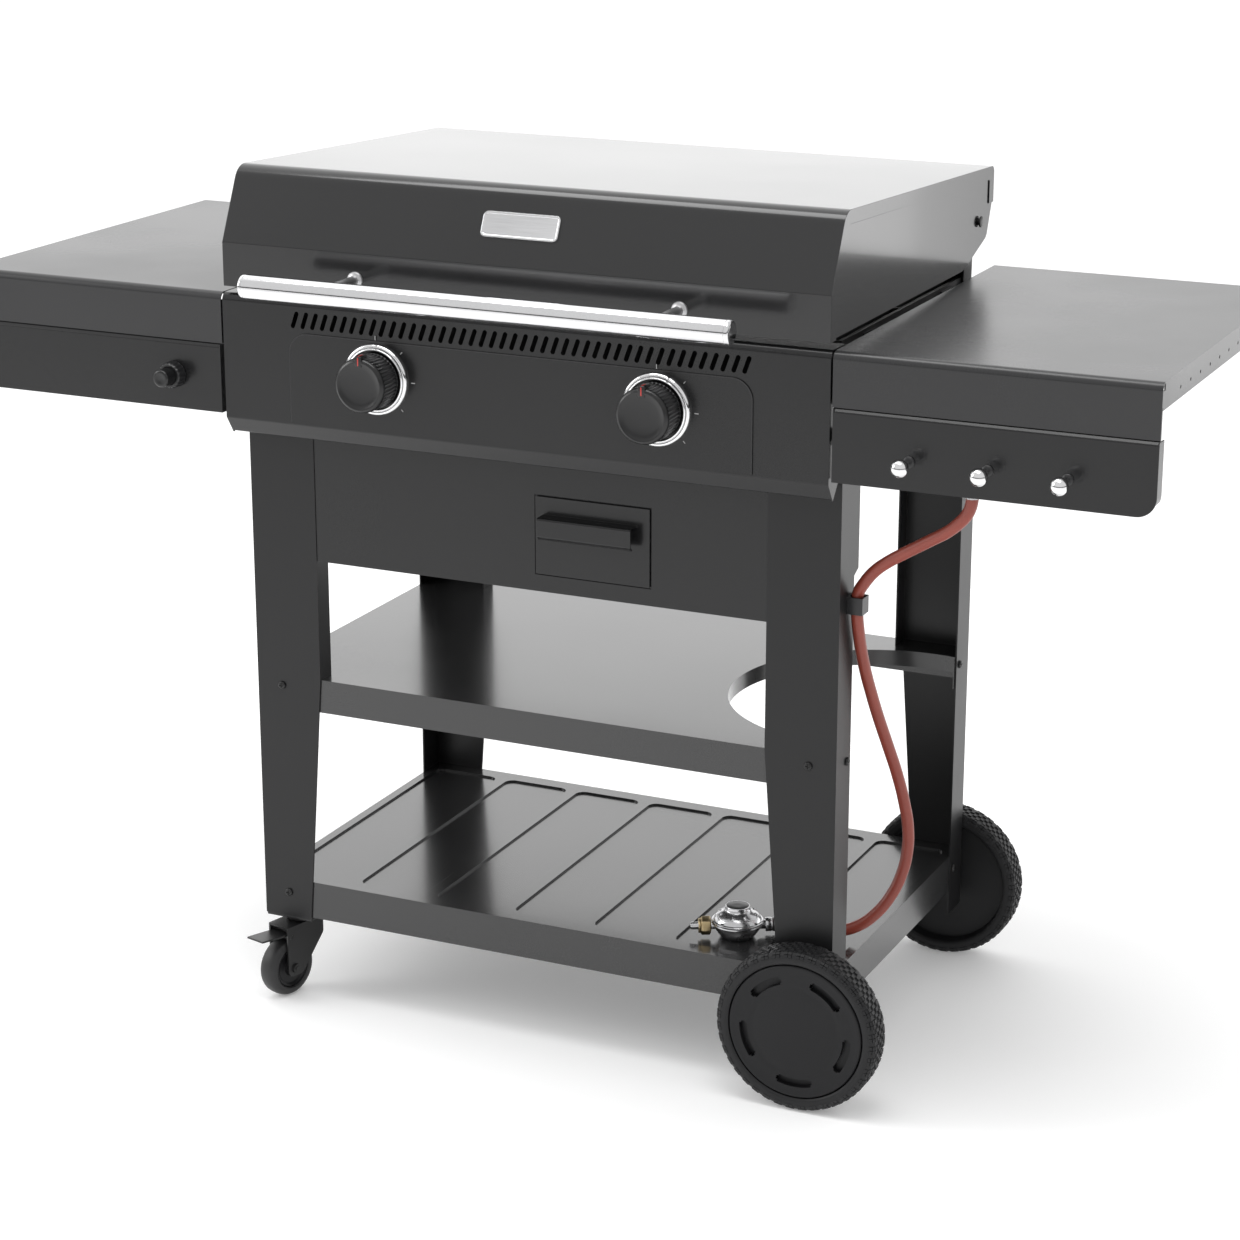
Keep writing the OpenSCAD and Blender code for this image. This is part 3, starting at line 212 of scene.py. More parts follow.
finishInputs = [
    ("Vector", "NodeSocketVector", None), ("Color", "NodeSocketColor", (0.1, 0.1, 0.1, 1)),
    ("Second Color", "NodeSocketColor", (0.2, 0.2, 0.2, 1)), ("Grain Scale", "NodeSocketFloat", 900.0),
    ("Cloud Scale", "NodeSocketFloat", 5.0), ("Low Roughness", "NodeSocketFloat", 0.25),
    ("High Roughness", "NodeSocketFloat", 0.4), ("Stretch", "NodeSocketVector", (1.0, 1.0, 1.0)),
    ("Edge", "NodeSocketFloat", 0.0),
]
finishOutputs = [("Color", "NodeSocketColor"), ("Roughness", "NodeSocketFloat"), ("Height", "NodeSocketFloat")]


def makeFinish(name, grainShare, cloudShare, edgeShare, grainDetail):
    tree, given, made = newGroup(name, finishInputs, finishOutputs)
    grain = noiseNode(tree, given["Vector"], given["Grain Scale"], grainDetail, given["Stretch"])
    cloud = noiseNode(tree, given["Vector"], given["Cloud Scale"], 4.0)
    lift = mathNode(tree, "SUBTRACT", cloud, 0.35)
    cloudMask = mathNode(tree, "MULTIPLY", lift, 3.0, clamp=True)
    shade = mathNode(tree, "ADD", mathNode(tree, "MULTIPLY", grain, grainShare),
                     mathNode(tree, "MULTIPLY", cloudMask, cloudShare))
    shade = mathNode(tree, "ADD", shade, mathNode(tree, "MULTIPLY", given["Edge"], edgeShare), clamp=True)
    tree.links.new(mixColor(tree, shade, given["Color"], given["Second Color"]), made["Color"])
    span = mathNode(tree, "SUBTRACT", given["High Roughness"], given["Low Roughness"])
    blend = mathNode(tree, "ADD", mathNode(tree, "MULTIPLY", cloudMask, 0.6), mathNode(tree, "MULTIPLY", grain, 0.4))
    rough = mathNode(tree, "ADD", given["Low Roughness"], mathNode(tree, "MULTIPLY", span, blend))
    tree.links.new(rough, made["Roughness"])
    tree.links.new(grain, made["Height"])
    return tree


finishes = {
    "sprayed": makeFinish("sprayedPaint", 0.35, 0.25, 0.5, 2.0),
    "brushed": makeFinish("brushedMetal", 0.8, 0.15, 0.2, 4.0),
    "moulded": makeFinish("mouldedSurface", 0.5, 0.3, 0.35, 1.0),
}


def makeMaterial(name, finish, color, second, rough, grain=900.0, cloud=5.0, stretch=(1, 1, 1), metallic=0.0,
                 bump=0.05, bumpDepth=0.0002, coat=0.0, coatRough=0.1, specular=0.5, followTube=False):
    material = bpy.data.materials.new(name)
    material.use_nodes = True
    tree = material.node_tree
    shader = tree.nodes["Principled BSDF"]
    shader.inputs["Metallic"].default_value = metallic
    shader.inputs["Coat Weight"].default_value = coat
    shader.inputs["Coat Roughness"].default_value = coatRough
    shader.inputs["Specular IOR Level"].default_value = specular
    place = tree.nodes.new("ShaderNodeTexCoord").outputs["UV" if followTube else "Object"]
    look = tree.nodes.new("ShaderNodeGroup")
    look.node_tree = finishes[finish]
    values = {"Color": (*color, 1), "Second Color": (*second, 1), "Grain Scale": grain, "Cloud Scale": cloud,
              "Low Roughness": rough[0], "High Roughness": rough[1], "Stretch": stretch}
    for label, value in values.items():
        look.inputs[label].default_value = value
    edge = tree.nodes.new("ShaderNodeAttribute")
    edge.attribute_name = "edgeWear"
    tree.links.new(place, look.inputs["Vector"])
    tree.links.new(edge.outputs["Fac"], look.inputs["Edge"])
    tree.links.new(look.outputs["Color"], shader.inputs["Base Color"])
    tree.links.new(look.outputs["Roughness"], shader.inputs["Roughness"])
    relief = tree.nodes.new("ShaderNodeBump")
    relief.inputs["Strength"].default_value = bump
    relief.inputs["Distance"].default_value = bumpDepth
    tree.links.new(look.outputs["Height"], relief.inputs["Height"])
    tree.links.new(relief.outputs["Normal"], shader.inputs["Normal"])
    return material


charcoal = (0.009, 0.009, 0.0095)
charcoalLight = (0.015, 0.015, 0.0155)
materials = {
    "charcoalPaint": makeMaterial("charcoalPaint", "sprayed", charcoal, charcoalLight, (0.2, 0.3), 1400, 3.0,
                                  bump=0.04, coat=0.08, coatRough=0.12, specular=0.36),
    "hoodPaint": makeMaterial("hoodPaint", "sprayed", (0.012, 0.012, 0.0125), (0.019, 0.019, 0.0195), (0.14, 0.2), 1400,
                              2.5, bump=0.03, coat=0.2, coatRough=0.06),
    # painted light: the charcoal paint made lighter so the flat table tops look lit by the bright room they reflect
    "tableLitPaint": makeMaterial("tableLitPaint", "sprayed", (0.019, 0.019, 0.02), (0.03, 0.03, 0.031), (0.24, 0.34), 1200,
                               3.5, bump=0.05),
    "legPaint": makeMaterial("legPaint", "sprayed", (0.009, 0.009, 0.0095), (0.015, 0.015, 0.0155), (0.3, 0.42), 1100,
                             4.0, bump=0.06, specular=0.36),
    # painted light: the charcoal paint made lighter so the flat shelves look lit by the bright room they reflect
    "shelfLitPaint": makeMaterial("shelfLitPaint", "sprayed", (0.018, 0.018, 0.0185), (0.028, 0.028, 0.0285), (0.2, 0.3),
                               1200, 3.0, bump=0.04, coat=0.6, coatRough=0.14, specular=0.4),
    "casterPaint": makeMaterial("casterPaint", "sprayed", (0.008, 0.008, 0.0085), (0.018, 0.018, 0.018), (0.3, 0.42),
                                900, 30.0, bump=0.06),
    "blackSteel": makeMaterial("blackSteel", "sprayed", (0.012, 0.012, 0.012), (0.03, 0.03, 0.03), (0.28, 0.4), 900,
                               60.0, bump=0.05, metallic=0.3),
    "fireboxEnamel": makeMaterial("fireboxEnamel", "sprayed", (0.012, 0.012, 0.012), (0.03, 0.03, 0.03), (0.3, 0.5),
                                  700, 9.0, bump=0.12),
    "ironEnamel": makeMaterial("ironEnamel", "moulded", (0.02, 0.02, 0.02), (0.05, 0.05, 0.05), (0.45, 0.65), 500, 14.0,
                               bump=0.35, bumpDepth=0.0005),
    "brushedSteel": makeMaterial("brushedSteel", "brushed", (0.62, 0.62, 0.63), (0.8, 0.8, 0.81), (0.2, 0.34), 700, 6.0,
                                 stretch=(0.02, 1, 1), metallic=1.0, bump=0.08, bumpDepth=0.0001),
    "polishedSteel": makeMaterial("polishedSteel", "moulded", (0.72, 0.72, 0.73), (0.84, 0.84, 0.85), (0.08, 0.14), 500,
                                  20.0, metallic=1.0, bump=0.02),
    "zincSteel": makeMaterial("zincSteel", "moulded", (0.42, 0.42, 0.43), (0.6, 0.6, 0.6), (0.28, 0.45), 300, 20.0,
                              metallic=1.0, bump=0.08),
    "heatedSteel": makeMaterial("heatedSteel", "moulded", (0.34, 0.31, 0.28), (0.5, 0.48, 0.46), (0.35, 0.55), 220, 8.0,
                                metallic=1.0, bump=0.1),
    "chrome": makeMaterial("chrome", "moulded", (0.78, 0.78, 0.79), (0.88, 0.88, 0.88), (0.05, 0.12), 300, 8.0,
                           metallic=1.0, bump=0.01),
    "brass": makeMaterial("brass", "moulded", (0.42, 0.32, 0.17), (0.62, 0.5, 0.3), (0.25, 0.45), 500, 60.0,
                          metallic=1.0, bump=0.15),
    "castZinc": makeMaterial("castZinc", "moulded", (0.5, 0.5, 0.51), (0.72, 0.72, 0.73), (0.16, 0.32), 420, 30.0,
                             metallic=1.0, bump=0.15),
    "knobPlastic": makeMaterial("knobPlastic", "moulded", (0.006, 0.006, 0.0065), (0.012, 0.012, 0.0125), (0.24, 0.36),
                                1600, 20.0, bump=0.1),
    "blackPlastic": makeMaterial("blackPlastic", "moulded", (0.009, 0.009, 0.01), (0.018, 0.018, 0.019), (0.25, 0.4),
                                 1500, 30.0, bump=0.08),
    "wheelPlastic": makeMaterial("wheelPlastic", "moulded", (0.01, 0.01, 0.011), (0.02, 0.02, 0.021), (0.4, 0.55),
                                 900, 12.0, bump=0.2, specular=0.3),
    "capPlastic": makeMaterial("capPlastic", "moulded", (0.008, 0.008, 0.009), (0.014, 0.014, 0.015), (0.34, 0.44),
                               1300, 9.0, bump=0.12, specular=0.26),
    "rollerRubber": makeMaterial("rollerRubber", "moulded", (0.012, 0.012, 0.0125), (0.022, 0.022, 0.023), (0.4, 0.55),
                                 800, 25.0, bump=0.15),
    "hoseRubber": makeMaterial("hoseRubber", "moulded", (0.22, 0.035, 0.022), (0.34, 0.07, 0.045), (0.32, 0.48), 600,
                               12.0, bump=0.15),
    "pointerRed": makeMaterial("pointerRed", "sprayed", (0.5, 0.03, 0.025), (0.6, 0.06, 0.05), (0.3, 0.4), 1500, 20.0),
    "ceramic": makeMaterial("ceramic", "moulded", (0.72, 0.7, 0.65), (0.84, 0.82, 0.78), (0.15, 0.25), 600, 20.0),
    "badgeMetal": makeMaterial("badgeMetal", "brushed", (0.6, 0.6, 0.61), (0.82, 0.82, 0.83), (0.18, 0.3), 900, 10.0,
                               stretch=(0.03, 1, 1), metallic=1.0, bump=0.06, bumpDepth=0.0001),
    "markingGrey": makeMaterial("markingGrey", "sprayed", (0.34, 0.34, 0.34), (0.42, 0.42, 0.42), (0.4, 0.5), 900, 9.0),
}


# Making pieces

def shadeByAngle(shape, angle):
    for face in shape.faces:
        face.smooth = True
    for edge in shape.edges:
        edge.smooth = not edge.is_manifold or edge.calc_face_angle(0) < radians(angle)


def finishPiece(shape, name, material, body, standsFor=(), sharp=38, weighted=False):
    shadeByAngle(shape, sharp)
    mesh = bpy.data.meshes.new(name)
    shape.to_mesh(mesh)
    shape.free()
    mesh.materials.append(materials[material])
    piece = bpy.data.objects.new(name, mesh)
    bpy.context.scene.collection.objects.link(piece)
    if weighted:
        normals = piece.modifiers.new("weighted normals", "WEIGHTED_NORMAL")
        normals.keep_sharp = True
    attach(piece, body)
    if standsFor:
        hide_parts(*standsFor)
    return piece


def bodyOf(node):
    bodies = frame["record"]["behaviour"]["bodies"]
    return next(body for body, members in bodies.items() if node in members)


def cadShape(node):
    shape = bmesh.new()
    shape.from_mesh(nodes[node].data)
    bmesh.ops.remove_doubles(shape, verts=shape.verts, dist=2e-6)
    bmesh.ops.dissolve_limit(shape, angle_limit=radians(0.4), use_dissolve_boundaries=False,
                             verts=shape.verts, edges=shape.edges)
    return shape


def bevelSharp(shape, width, angle=32, segments=2, keep=None):
    wear = shape.faces.layers.float.get("edgeWear") or shape.faces.layers.float.new("edgeWear")
    edges = [e for e in shape.edges if e.is_manifold and e.calc_face_angle(0) > radians(angle)]
    if keep:
        edges = [e for e in edges if keep(e)]
    made = bmesh.ops.bevel(shape, geom=edges, offset=width, offset_type="OFFSET", affect="EDGES", segments=segments,
                           profile=0.5, material=-1, clamp_overlap=True)
    for face in made["faces"]:
        face[wear] = 1.0


def softEdged(node, material, width=0.4 * mm, segments=2):
    shape = cadShape(node)
    bevelSharp(shape, width, segments=segments)
    return finishPiece(shape, node + "Sheet", material, bodyOf(node), [node], weighted=True)


def looseBoxes(node):  # lowest and highest corner of each separate solid of a node
    shape = bmesh.new()
    shape.from_mesh(nodes[node].data)
    bmesh.ops.remove_doubles(shape, verts=shape.verts, dist=2e-6)
    left = set(shape.verts)
    boxes = []
    while left:
        group, waiting = set(), [left.pop()]
        while waiting:
            vert = waiting.pop()
            group.add(vert)
            for edge in vert.link_edges:
                other = edge.other_vert(vert)
                if other in left:
                    left.discard(other)
                    waiting.append(other)
        low = Vector([min(v.co[i] for v in group) for i in range(3)])
        high = Vector([max(v.co[i] for v in group) for i in range(3)])
        boxes.append((low, high))
    shape.free()
    return sorted(boxes, key=lambda box: tuple(round(c, 4) for c in box[0]))


def spun(points, steps=96, closed=False, round=0.0, segments=2, angle=25):  # points are radius and height along +Z
    shape = bmesh.new()
    verts = [shape.verts.new((r, 0, h)) for r, h in points]
    pairs = list(zip(verts, verts[1:]))
    if closed:
        pairs.append((verts[-1], verts[0]))
    edges = [shape.edges.new(pair) for pair in pairs]
    bmesh.ops.spin(shape, geom=verts + edges, cent=(0, 0, 0), axis=(0, 0, 1), angle=2 * pi, steps=steps,
                   use_merge=True, use_duplicate=False)
    bmesh.ops.remove_doubles(shape, verts=shape.verts, dist=1e-6)
    bmesh.ops.recalc_face_normals(shape, faces=shape.faces)
    if round:
        bevelSharp(shape, round, angle, segments)
    return shape


def stepAt(point, steps):  # which of the steps of a spun shape a point lies in
    return (point.xy.angle_signed(Vector((1, 0))) % (2 * pi)) * steps / (2 * pi) if point.xy.length else 0


def place(shape, origin, zAxis=(0, 0, 1), xAxis=None):  # turns +Z to zAxis and moves the origin
    z = Vector(zAxis).normalized()
    x = Vector(xAxis) if xAxis else (Vector((0, 0, 1)) if abs(z.z) < 0.9 else Vector((1, 0, 0)))
    x = (x - z * x.dot(z)).normalized()
    y = z.cross(x)
    turn = Matrix((x, y, z)).transposed().to_4x4()
    bmesh.ops.transform(shape, matrix=Matrix.Translation(origin) @ turn, verts=shape.verts)
    return shape


def joinShapes(shapes):
    whole = bmesh.new()
    for shape in shapes:
        mesh = bpy.data.meshes.new("part")
        shape.to_mesh(mesh)
        shape.free()
        whole.from_mesh(mesh)
        bpy.data.meshes.remove(mesh)
    return whole


def block(low, high, round=0.0, segments=2):
    shape = bmesh.new()
    low, high = Vector(low), Vector(high)
    bmesh.ops.create_cube(shape, size=1)
    bmesh.ops.scale(shape, vec=high - low, verts=shape.verts)
    bmesh.ops.translate(shape, vec=(low + high) / 2, verts=shape.verts)
    if round:
        bevelSharp(shape, round, segments=segments)
    return shape


# Gas hose, from the pipe under the right table down to the regulator

hoseLook = {
    "diameter": 14 * mm,
    "length": 0.812,
    "ferruleLength": 22 * mm,
    "ferruleDiameter": 17 * mm,
}
hoseRoute = [
    (532, -6, 770), (532, -6, 756), (531, -5, 742), (526, -3, 729), (515, 0, 716), (501, 4, 704),
    (484, 9, 693), (465, 13, 681), (446, 17, 669), (428, 21, 657), (411, 25, 643), (398, 28, 627),
    (390, 31, 613), (389, 31, 600), (389, 32, 586), (389, 38, 565), (389, 48, 540), (390, 60, 513),
    (392, 75, 483), (396, 92, 447), (402, 109, 409), (409, 124, 370), (415, 134, 333),
    (419, 139, 300), (419, 139, 270), (414, 135, 241), (404, 127, 215), (389, 118, 193),
    (370, 111, 177), (347, 108, 168), (322, 109, 166), (300, 107, 166), (283, 101, 167), (268, 93, 168),
]


def routePoints():
    return [Vector((x * mm, y * mm + frontLegs, z * mm)) for x, y, z in hoseRoute]


def makeHose():
    points = routePoints()
    data = bpy.data.curves.new("gasHose", "CURVE")
    data.dimensions = "3D"
    data.bevel_depth = hoseLook["diameter"] / 2
    data.bevel_resolution = 8
    data.resolution_u = 6
    data.use_fill_caps = True
    line = data.splines.new("BEZIER")
    line.bezier_points.add(len(points) - 1)
    for knot, point in zip(line.bezier_points, points):
        knot.co = point
        knot.handle_left_type = "AUTO"
        knot.handle_right_type = "AUTO"
    data.materials.append(materials["hoseRubber"])
    hose = bpy.data.objects.new("gasHose", data)
    bpy.context.scene.collection.objects.link(hose)
    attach(hose, "cart")
    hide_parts("gas_hose")
    return hose


def makeFerrules():
    points = routePoints()
    r, d, l = hoseLook["ferruleDiameter"] / 2, hoseLook["diameter"] / 2, hoseLook["ferruleLength"]
    shapes = []
    for end, following in ((points[0], points[1]), (points[-1], points[-2])):
        crimps = [(d + 0.2 * mm, 0)]
        for i in range(3):
            start = l * i / 3
            crimps += [(r, start + 0.4 * mm), (r, start + l / 3 - 2.4 * mm), (r - 1.2 * mm, start + l / 3 - 1.2 * mm)]
        crimps += [(r - 1.2 * mm, l), (d + 0.2 * mm, l)]
        shapes.append(place(spun(crimps, 48, closed=True), end, following - end))
    return finishPiece(joinShapes(shapes), "hoseFerrules", "zincSteel", "cart")


# Regulator at the hose's end, lying on the bottom shelf

regulatorLook = {
    "turn": 28,  # degrees
    "reach": 42 * mm,
    "flange": 31 * mm,
    "neck": 15 * mm,
    "capRadius": 13.2 * mm,
    "pockets": 4,
    "pocketRim": 1.3 * mm,
    "pocketRadius": 8 * mm,
    "pocketArc": 230,  # degrees
    "pocketLean": 38,  # degrees
    "pocketPlace": (20.6 * mm, 0, 30.2 * mm),
    "flangeScrews": 4,
}


def regulatorPlace():  # middle of the regulator at its base, and the direction of its hose spout
    end = routePoints()[-1]
    turn = radians(regulatorLook["turn"])
    out = Vector((cos(turn), sin(turn), 0))
    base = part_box("regulator")[0].z
    middle = end - out * regulatorLook["reach"]
    return Vector((middle.x, middle.y, base)), out, end.z


def regulatorPocket(angle):  # raised rim of a scooped pocket on the dome
    arc = radians(regulatorLook["pocketArc"])
    lean = radians(regulatorLook["pocketLean"])
    shape = bmesh.new()
    bmesh.ops.create_circle(shape, cap_ends=False, segments=10, radius=regulatorLook["pocketRim"])
    bmesh.ops.rotate(shape, cent=(0, 0, 0), matrix=Matrix.Rotation(pi / 2, 3, "X"), verts=shape.verts)
    bmesh.ops.translate(shape, vec=(regulatorLook["pocketRadius"], 0, 0), verts=shape.verts)
    bmesh.ops.spin(shape, geom=list(shape.verts) + list(shape.edges), cent=(0, 0, 0), axis=(0, 0, 1),
                   angle=arc, steps=18, use_merge=False, use_duplicate=False)
    bmesh.ops.holes_fill(shape, edges=[e for e in shape.edges if e.is_boundary], sides=12)
    bmesh.ops.recalc_face_normals(shape, faces=shape.faces)
    bmesh.ops.rotate(shape, cent=(0, 0, 0), matrix=Matrix.Rotation(-arc / 2, 3, "Z"), verts=shape.verts)
    bmesh.ops.scale(shape, vec=(0.75, 1.25, 1), verts=shape.verts)
    bmesh.ops.rotate(shape, cent=(0, 0, 0), matrix=Matrix.Rotation(lean, 3, "Y"), verts=shape.verts)
    bmesh.ops.translate(shape, vec=regulatorLook["pocketPlace"], verts=shape.verts)
    bmesh.ops.rotate(shape, cent=(0, 0, 0), matrix=Matrix.Rotation(angle, 3, "Z"), verts=shape.verts)
    return shape


def makeRegulator():
    middle, out, spoutZ = regulatorPlace()
    flange, neck = regulatorLook["flange"], regulatorLook["neck"]
    body = spun([(0, 0), (18 * mm, 0), (20 * mm, 1 * mm), (27.5 * mm, 12 * mm), (28.6 * mm, 16.5 * mm),
                 (flange - 0.6 * mm, 17.6 * mm), (flange, 18.4 * mm), (flange - 0.2 * mm, 19.6 * mm),
                 (flange - 1.2 * mm, 20 * mm), (flange - 0.2 * mm, 20.4 * mm), (flange, 21.6 * mm),
                 (flange - 0.8 * mm, 22.6 * mm), (28.8 * mm, 23 * mm), (27.6 * mm, 25.4 * mm), (25.6 * mm, 28 * mm),
                 (22 * mm, 31 * mm), (18 * mm, 33 * mm), (neck + 0.8 * mm, 34.4 * mm), (neck, 35.6 * mm),
                 (neck - 0.1 * mm, 39 * mm), (neck - 0.6 * mm, 39.6 * mm), (neck - 1.5 * mm, 39.6 * mm),
                 (neck - 1.8 * mm, 38.2 * mm), (0, 38.2 * mm)], 96)
    shapes = [body]
    for i in range(regulatorLook["pockets"]):
        shapes.append(regulatorPocket(2 * pi * (i + 0.5) / regulatorLook["pockets"]))
    whole = place(joinShapes(shapes), middle, (0, 0, 1), out)
    height = Vector((0, 0, spoutZ - middle.z))
    spout = spun([(0, 0), (5.5 * mm, 0), (5.5 * mm, 10 * mm), (8 * mm, 10.4 * mm), (8.5 * mm, 11.4 * mm),
                  (8.5 * mm, 17 * mm), (7.6 * mm, 18.4 * mm), (0, 18.4 * mm)], 40)
    spout = place(spout, middle + height + out * 23 * mm, out)
    nipple = spun([(0, 0), (4.5 * mm, 0), (4.5 * mm, 30 * mm), (3.6 * mm, 31.5 * mm), (2.2 * mm, 32 * mm),
                   (2.2 * mm, 27 * mm), (0, 27 * mm)], 40)
    nipple = place(nipple, middle + height - out * 25 * mm, -out)
    screws = []
    for i in range(regulatorLook["flangeScrews"]):
        angle = 2 * pi * i / regulatorLook["flangeScrews"] + radians(regulatorLook["turn"] + 45)
        head = spun([(0, 0), (2.4 * mm, 0), (2.6 * mm, 0.5 * mm), (2.6 * mm, 1.6 * mm), (1.8 * mm, 2.2 * mm),
                     (0, 2.4 * mm)], 20)
        spot = Vector((cos(angle), sin(angle), 0)) * (flange - 3 * mm)
        screws.append(place(head, middle + spot + Vector((0, 0, 22.4 * mm))))
    finishPiece(joinShapes([whole, spout, nipple] + screws), "regulatorBody", "castZinc", "cart",
                ["regulator"])
    cap = spun([(0, 0), (regulatorLook["capRadius"], 0), (regulatorLook["capRadius"], 1.2 * mm),
                (regulatorLook["capRadius"] - 0.8 * mm, 1.6 * mm), (4 * mm, 1.4 * mm), (0, 1.3 * mm)], 64)
    place(cap, middle + Vector((0, 0, 38.2 * mm)))
    finishPiece(cap, "regulatorCap", "blackPlastic", "cart")
    nutParts = [spun([(4.6 * mm, 0), (9.4 * mm, 0), (11.4 * mm, 1.4 * mm), (11.4 * mm, 10.5 * mm), (9.8 * mm, 12 * mm),
                      (4.6 * mm, 12 * mm)], 6, closed=True, round=0.3 * mm),
                spun([(4.6 * mm, 12 * mm), (8.6 * mm, 12 * mm), (8.9 * mm, 12.5 * mm), (8.9 * mm, 14.4 * mm),
                      (8.3 * mm, 15 * mm), (4.6 * mm, 15 * mm)], 40, closed=True)]
    nut = place(joinShapes(nutParts), middle + height - out * 32 * mm, -out, (0, 0.3, 1))
    finishPiece(nut, "regulatorNut", "brass", "cart", ["regulator_nut"])


# Sheet pieces with softened edges, each standing for its CAD node

sheetLook = {  # material and width of the softened edge
    "leg_front_left": ("legPaint", 0.6 * mm), "leg_front_right": ("legPaint", 0.6 * mm),
    "leg_rear_left": ("legPaint", 0.6 * mm), "leg_rear_right": ("legPaint", 0.6 * mm),
    "middle_shelf": ("shelfLitPaint", 0.5 * mm), "front_crosspiece": ("charcoalPaint", 0.4 * mm),
    "rear_crosspiece": ("legPaint", 0.4 * mm), "side_rails": ("legPaint", 0.4 * mm),
    "firebox": ("fireboxEnamel", 0.4 * mm), "control_panel": ("charcoalPaint", 0.4 * mm),
    "table_brackets": ("legPaint", 0.4 * mm), "table_apron_left": ("charcoalPaint", 0.5 * mm),
    "table_apron_right": ("charcoalPaint", 0.5 * mm), "hood_shell": ("hoodPaint", 0.5 * mm),
    "hood_end_left": ("hoodPaint", 0.5 * mm), "hood_end_right": ("hoodPaint", 0.5 * mm),
    "hinge_brackets": ("legPaint", 0.5 * mm), "tray_rails": ("zincSteel", 0.3 * mm),
    "grease_tray": ("charcoalPaint", 0.45 * mm), "cooking_grates": ("ironEnamel", 1.4 * mm),
    "heat_plates": ("heatedSteel", 0.5 * mm), "gas_valves": ("brass", 0.8 * mm),
    "gas_manifold": ("zincSteel", 0.3 * mm), "burners": ("heatedSteel", 0.2 * mm),
    "caster_mounts": ("casterPaint", 0.5 * mm), "caster_fork_front": ("casterPaint", 0.6 * mm),
    "caster_fork_rear": ("casterPaint", 0.6 * mm), "caster_brake_front": ("casterPaint", 0.6 * mm),
    "caster_brake_rear": ("casterPaint", 0.6 * mm), "hose_clip": ("blackPlastic", 1.2 * mm),
    "axle_nuts": ("zincSteel", 0.5 * mm),
}
plainLook = {  # CAD nodes that keep their own mesh
    "electrode": "ceramic", "ignition_wire": "blackPlastic", "axle": "zincSteel",
    "valve_stem_left": "zincSteel", "valve_stem_right": "zincSteel",
}


def makeSheets():
    for node, (material, width) in sheetLook.items():
        softEdged(node, material, width)
    for node, material in plainLook.items():
        nodes[node].data.materials.clear()
        nodes[node].data.materials.append(materials[material])


shelfLook = {
    "pressRound": 1.15 * mm,
    "edgeRound": 0.5 * mm,
    "pressedBelow": 3 * mm,
    "margin": 10 * mm,
}


def makeBottomShelf():  # the pressed panels have soft steps
    low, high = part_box("bottom_shelf")
    top = high.z - shelfLook["pressedBelow"]
    inset = shelfLook["margin"]
    shape = cadShape("bottom_shelf")

    def pressed(edge):
        middle = (edge.verts[0].co + edge.verts[1].co) / 2
        inside = low.x + inset < middle.x < high.x - inset and low.y + inset < middle.y < high.y - inset
        level = abs(edge.verts[0].co.z - edge.verts[1].co.z) < 0.1 * mm
        return inside and level and middle.z > top

    bevelSharp(shape, shelfLook["pressRound"], segments=3, keep=pressed)
    bevelSharp(shape, shelfLook["edgeRound"], angle=60, keep=lambda edge: not pressed(edge))
    # the bottom shelf uses the lighter copy of the charcoal paint, painted light for its lit top
    finishPiece(shape, "bottomShelfSheet", "shelfLitPaint", "cart", ["bottom_shelf"],
                weighted=True)


# Side tables: the inner end wall meets the front face

tableLook = {
    "sheet": 1.5 * mm,
    "edgeRound": 0.5 * mm,
    "frontHeight": 61 * mm,
    "cornerDepth": 10 * mm,
    "cornerDrop": 9 * mm,
    "cornerGap": 0.1 * mm,
}


def makeTable(side):
    node = "side_table_" + side
    low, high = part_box(node)
    shape = cadShape(node)
    bevelSharp(shape, tableLook["edgeRound"])
    wall = tableLook["sheet"]
    start = high.x - wall if side == "left" else low.x
    front = low.y + wall + tableLook["cornerGap"]
    corner = block((start, front, high.z - tableLook["frontHeight"]),
                   (start + wall, front + tableLook["cornerDepth"], high.z - tableLook["cornerDrop"]))
    # the tables use the lighter copy of the charcoal paint, painted light for their lit tops
    finishPiece(joinShapes([shape, corner]), side + "Table", "tableLitPaint", bodyOf(node), [node],
                weighted=True)


# Painted shade: a thin dark strip laid on the face round the raised part of the control panel, standing for the shade
# in its pressed line

panelLook = {
    "half": 292 * mm,
    "bottom": 758 * mm,
    "top": 865 * mm,
    "corner": 25 * mm,
    "front": 48.5 * mm,  # in front of the legs
    "line": 1.3 * mm,
    "proud": 0.06 * mm,
}


def makePanelShadeStrip():
    half, bottom, top, r = (panelLook[key] for key in ("half", "bottom", "top", "corner"))
    y = frontLegs - panelLook["front"] - panelLook["proud"]
    shape = bmesh.new()
    edges = []
    for reach in (r, r - panelLook["line"]):
        arc = [(half - r + reach * cos(radians(a)), top - r + reach * sin(radians(a))) for a in range(0, 91, 6)]
        side = [(half - r + reach, bottom)] + arc
        points = side + [(-x, z) for x, z in reversed(side)]
        row = [shape.verts.new((x, y, z)) for x, z in points]
        edges += [shape.edges.new(pair) for pair in zip(row, row[1:])]
    bmesh.ops.bridge_loops(shape, edges=edges)
    bmesh.ops.recalc_face_normals(shape, faces=shape.faces)
    # painted shade: a dark strip just proud of the panel where the pressed line's shade falls
    finishPiece(shape, "panelShadeStrip", "blackPlastic", "cart")


# Knobs, their bezels and the marks beside them

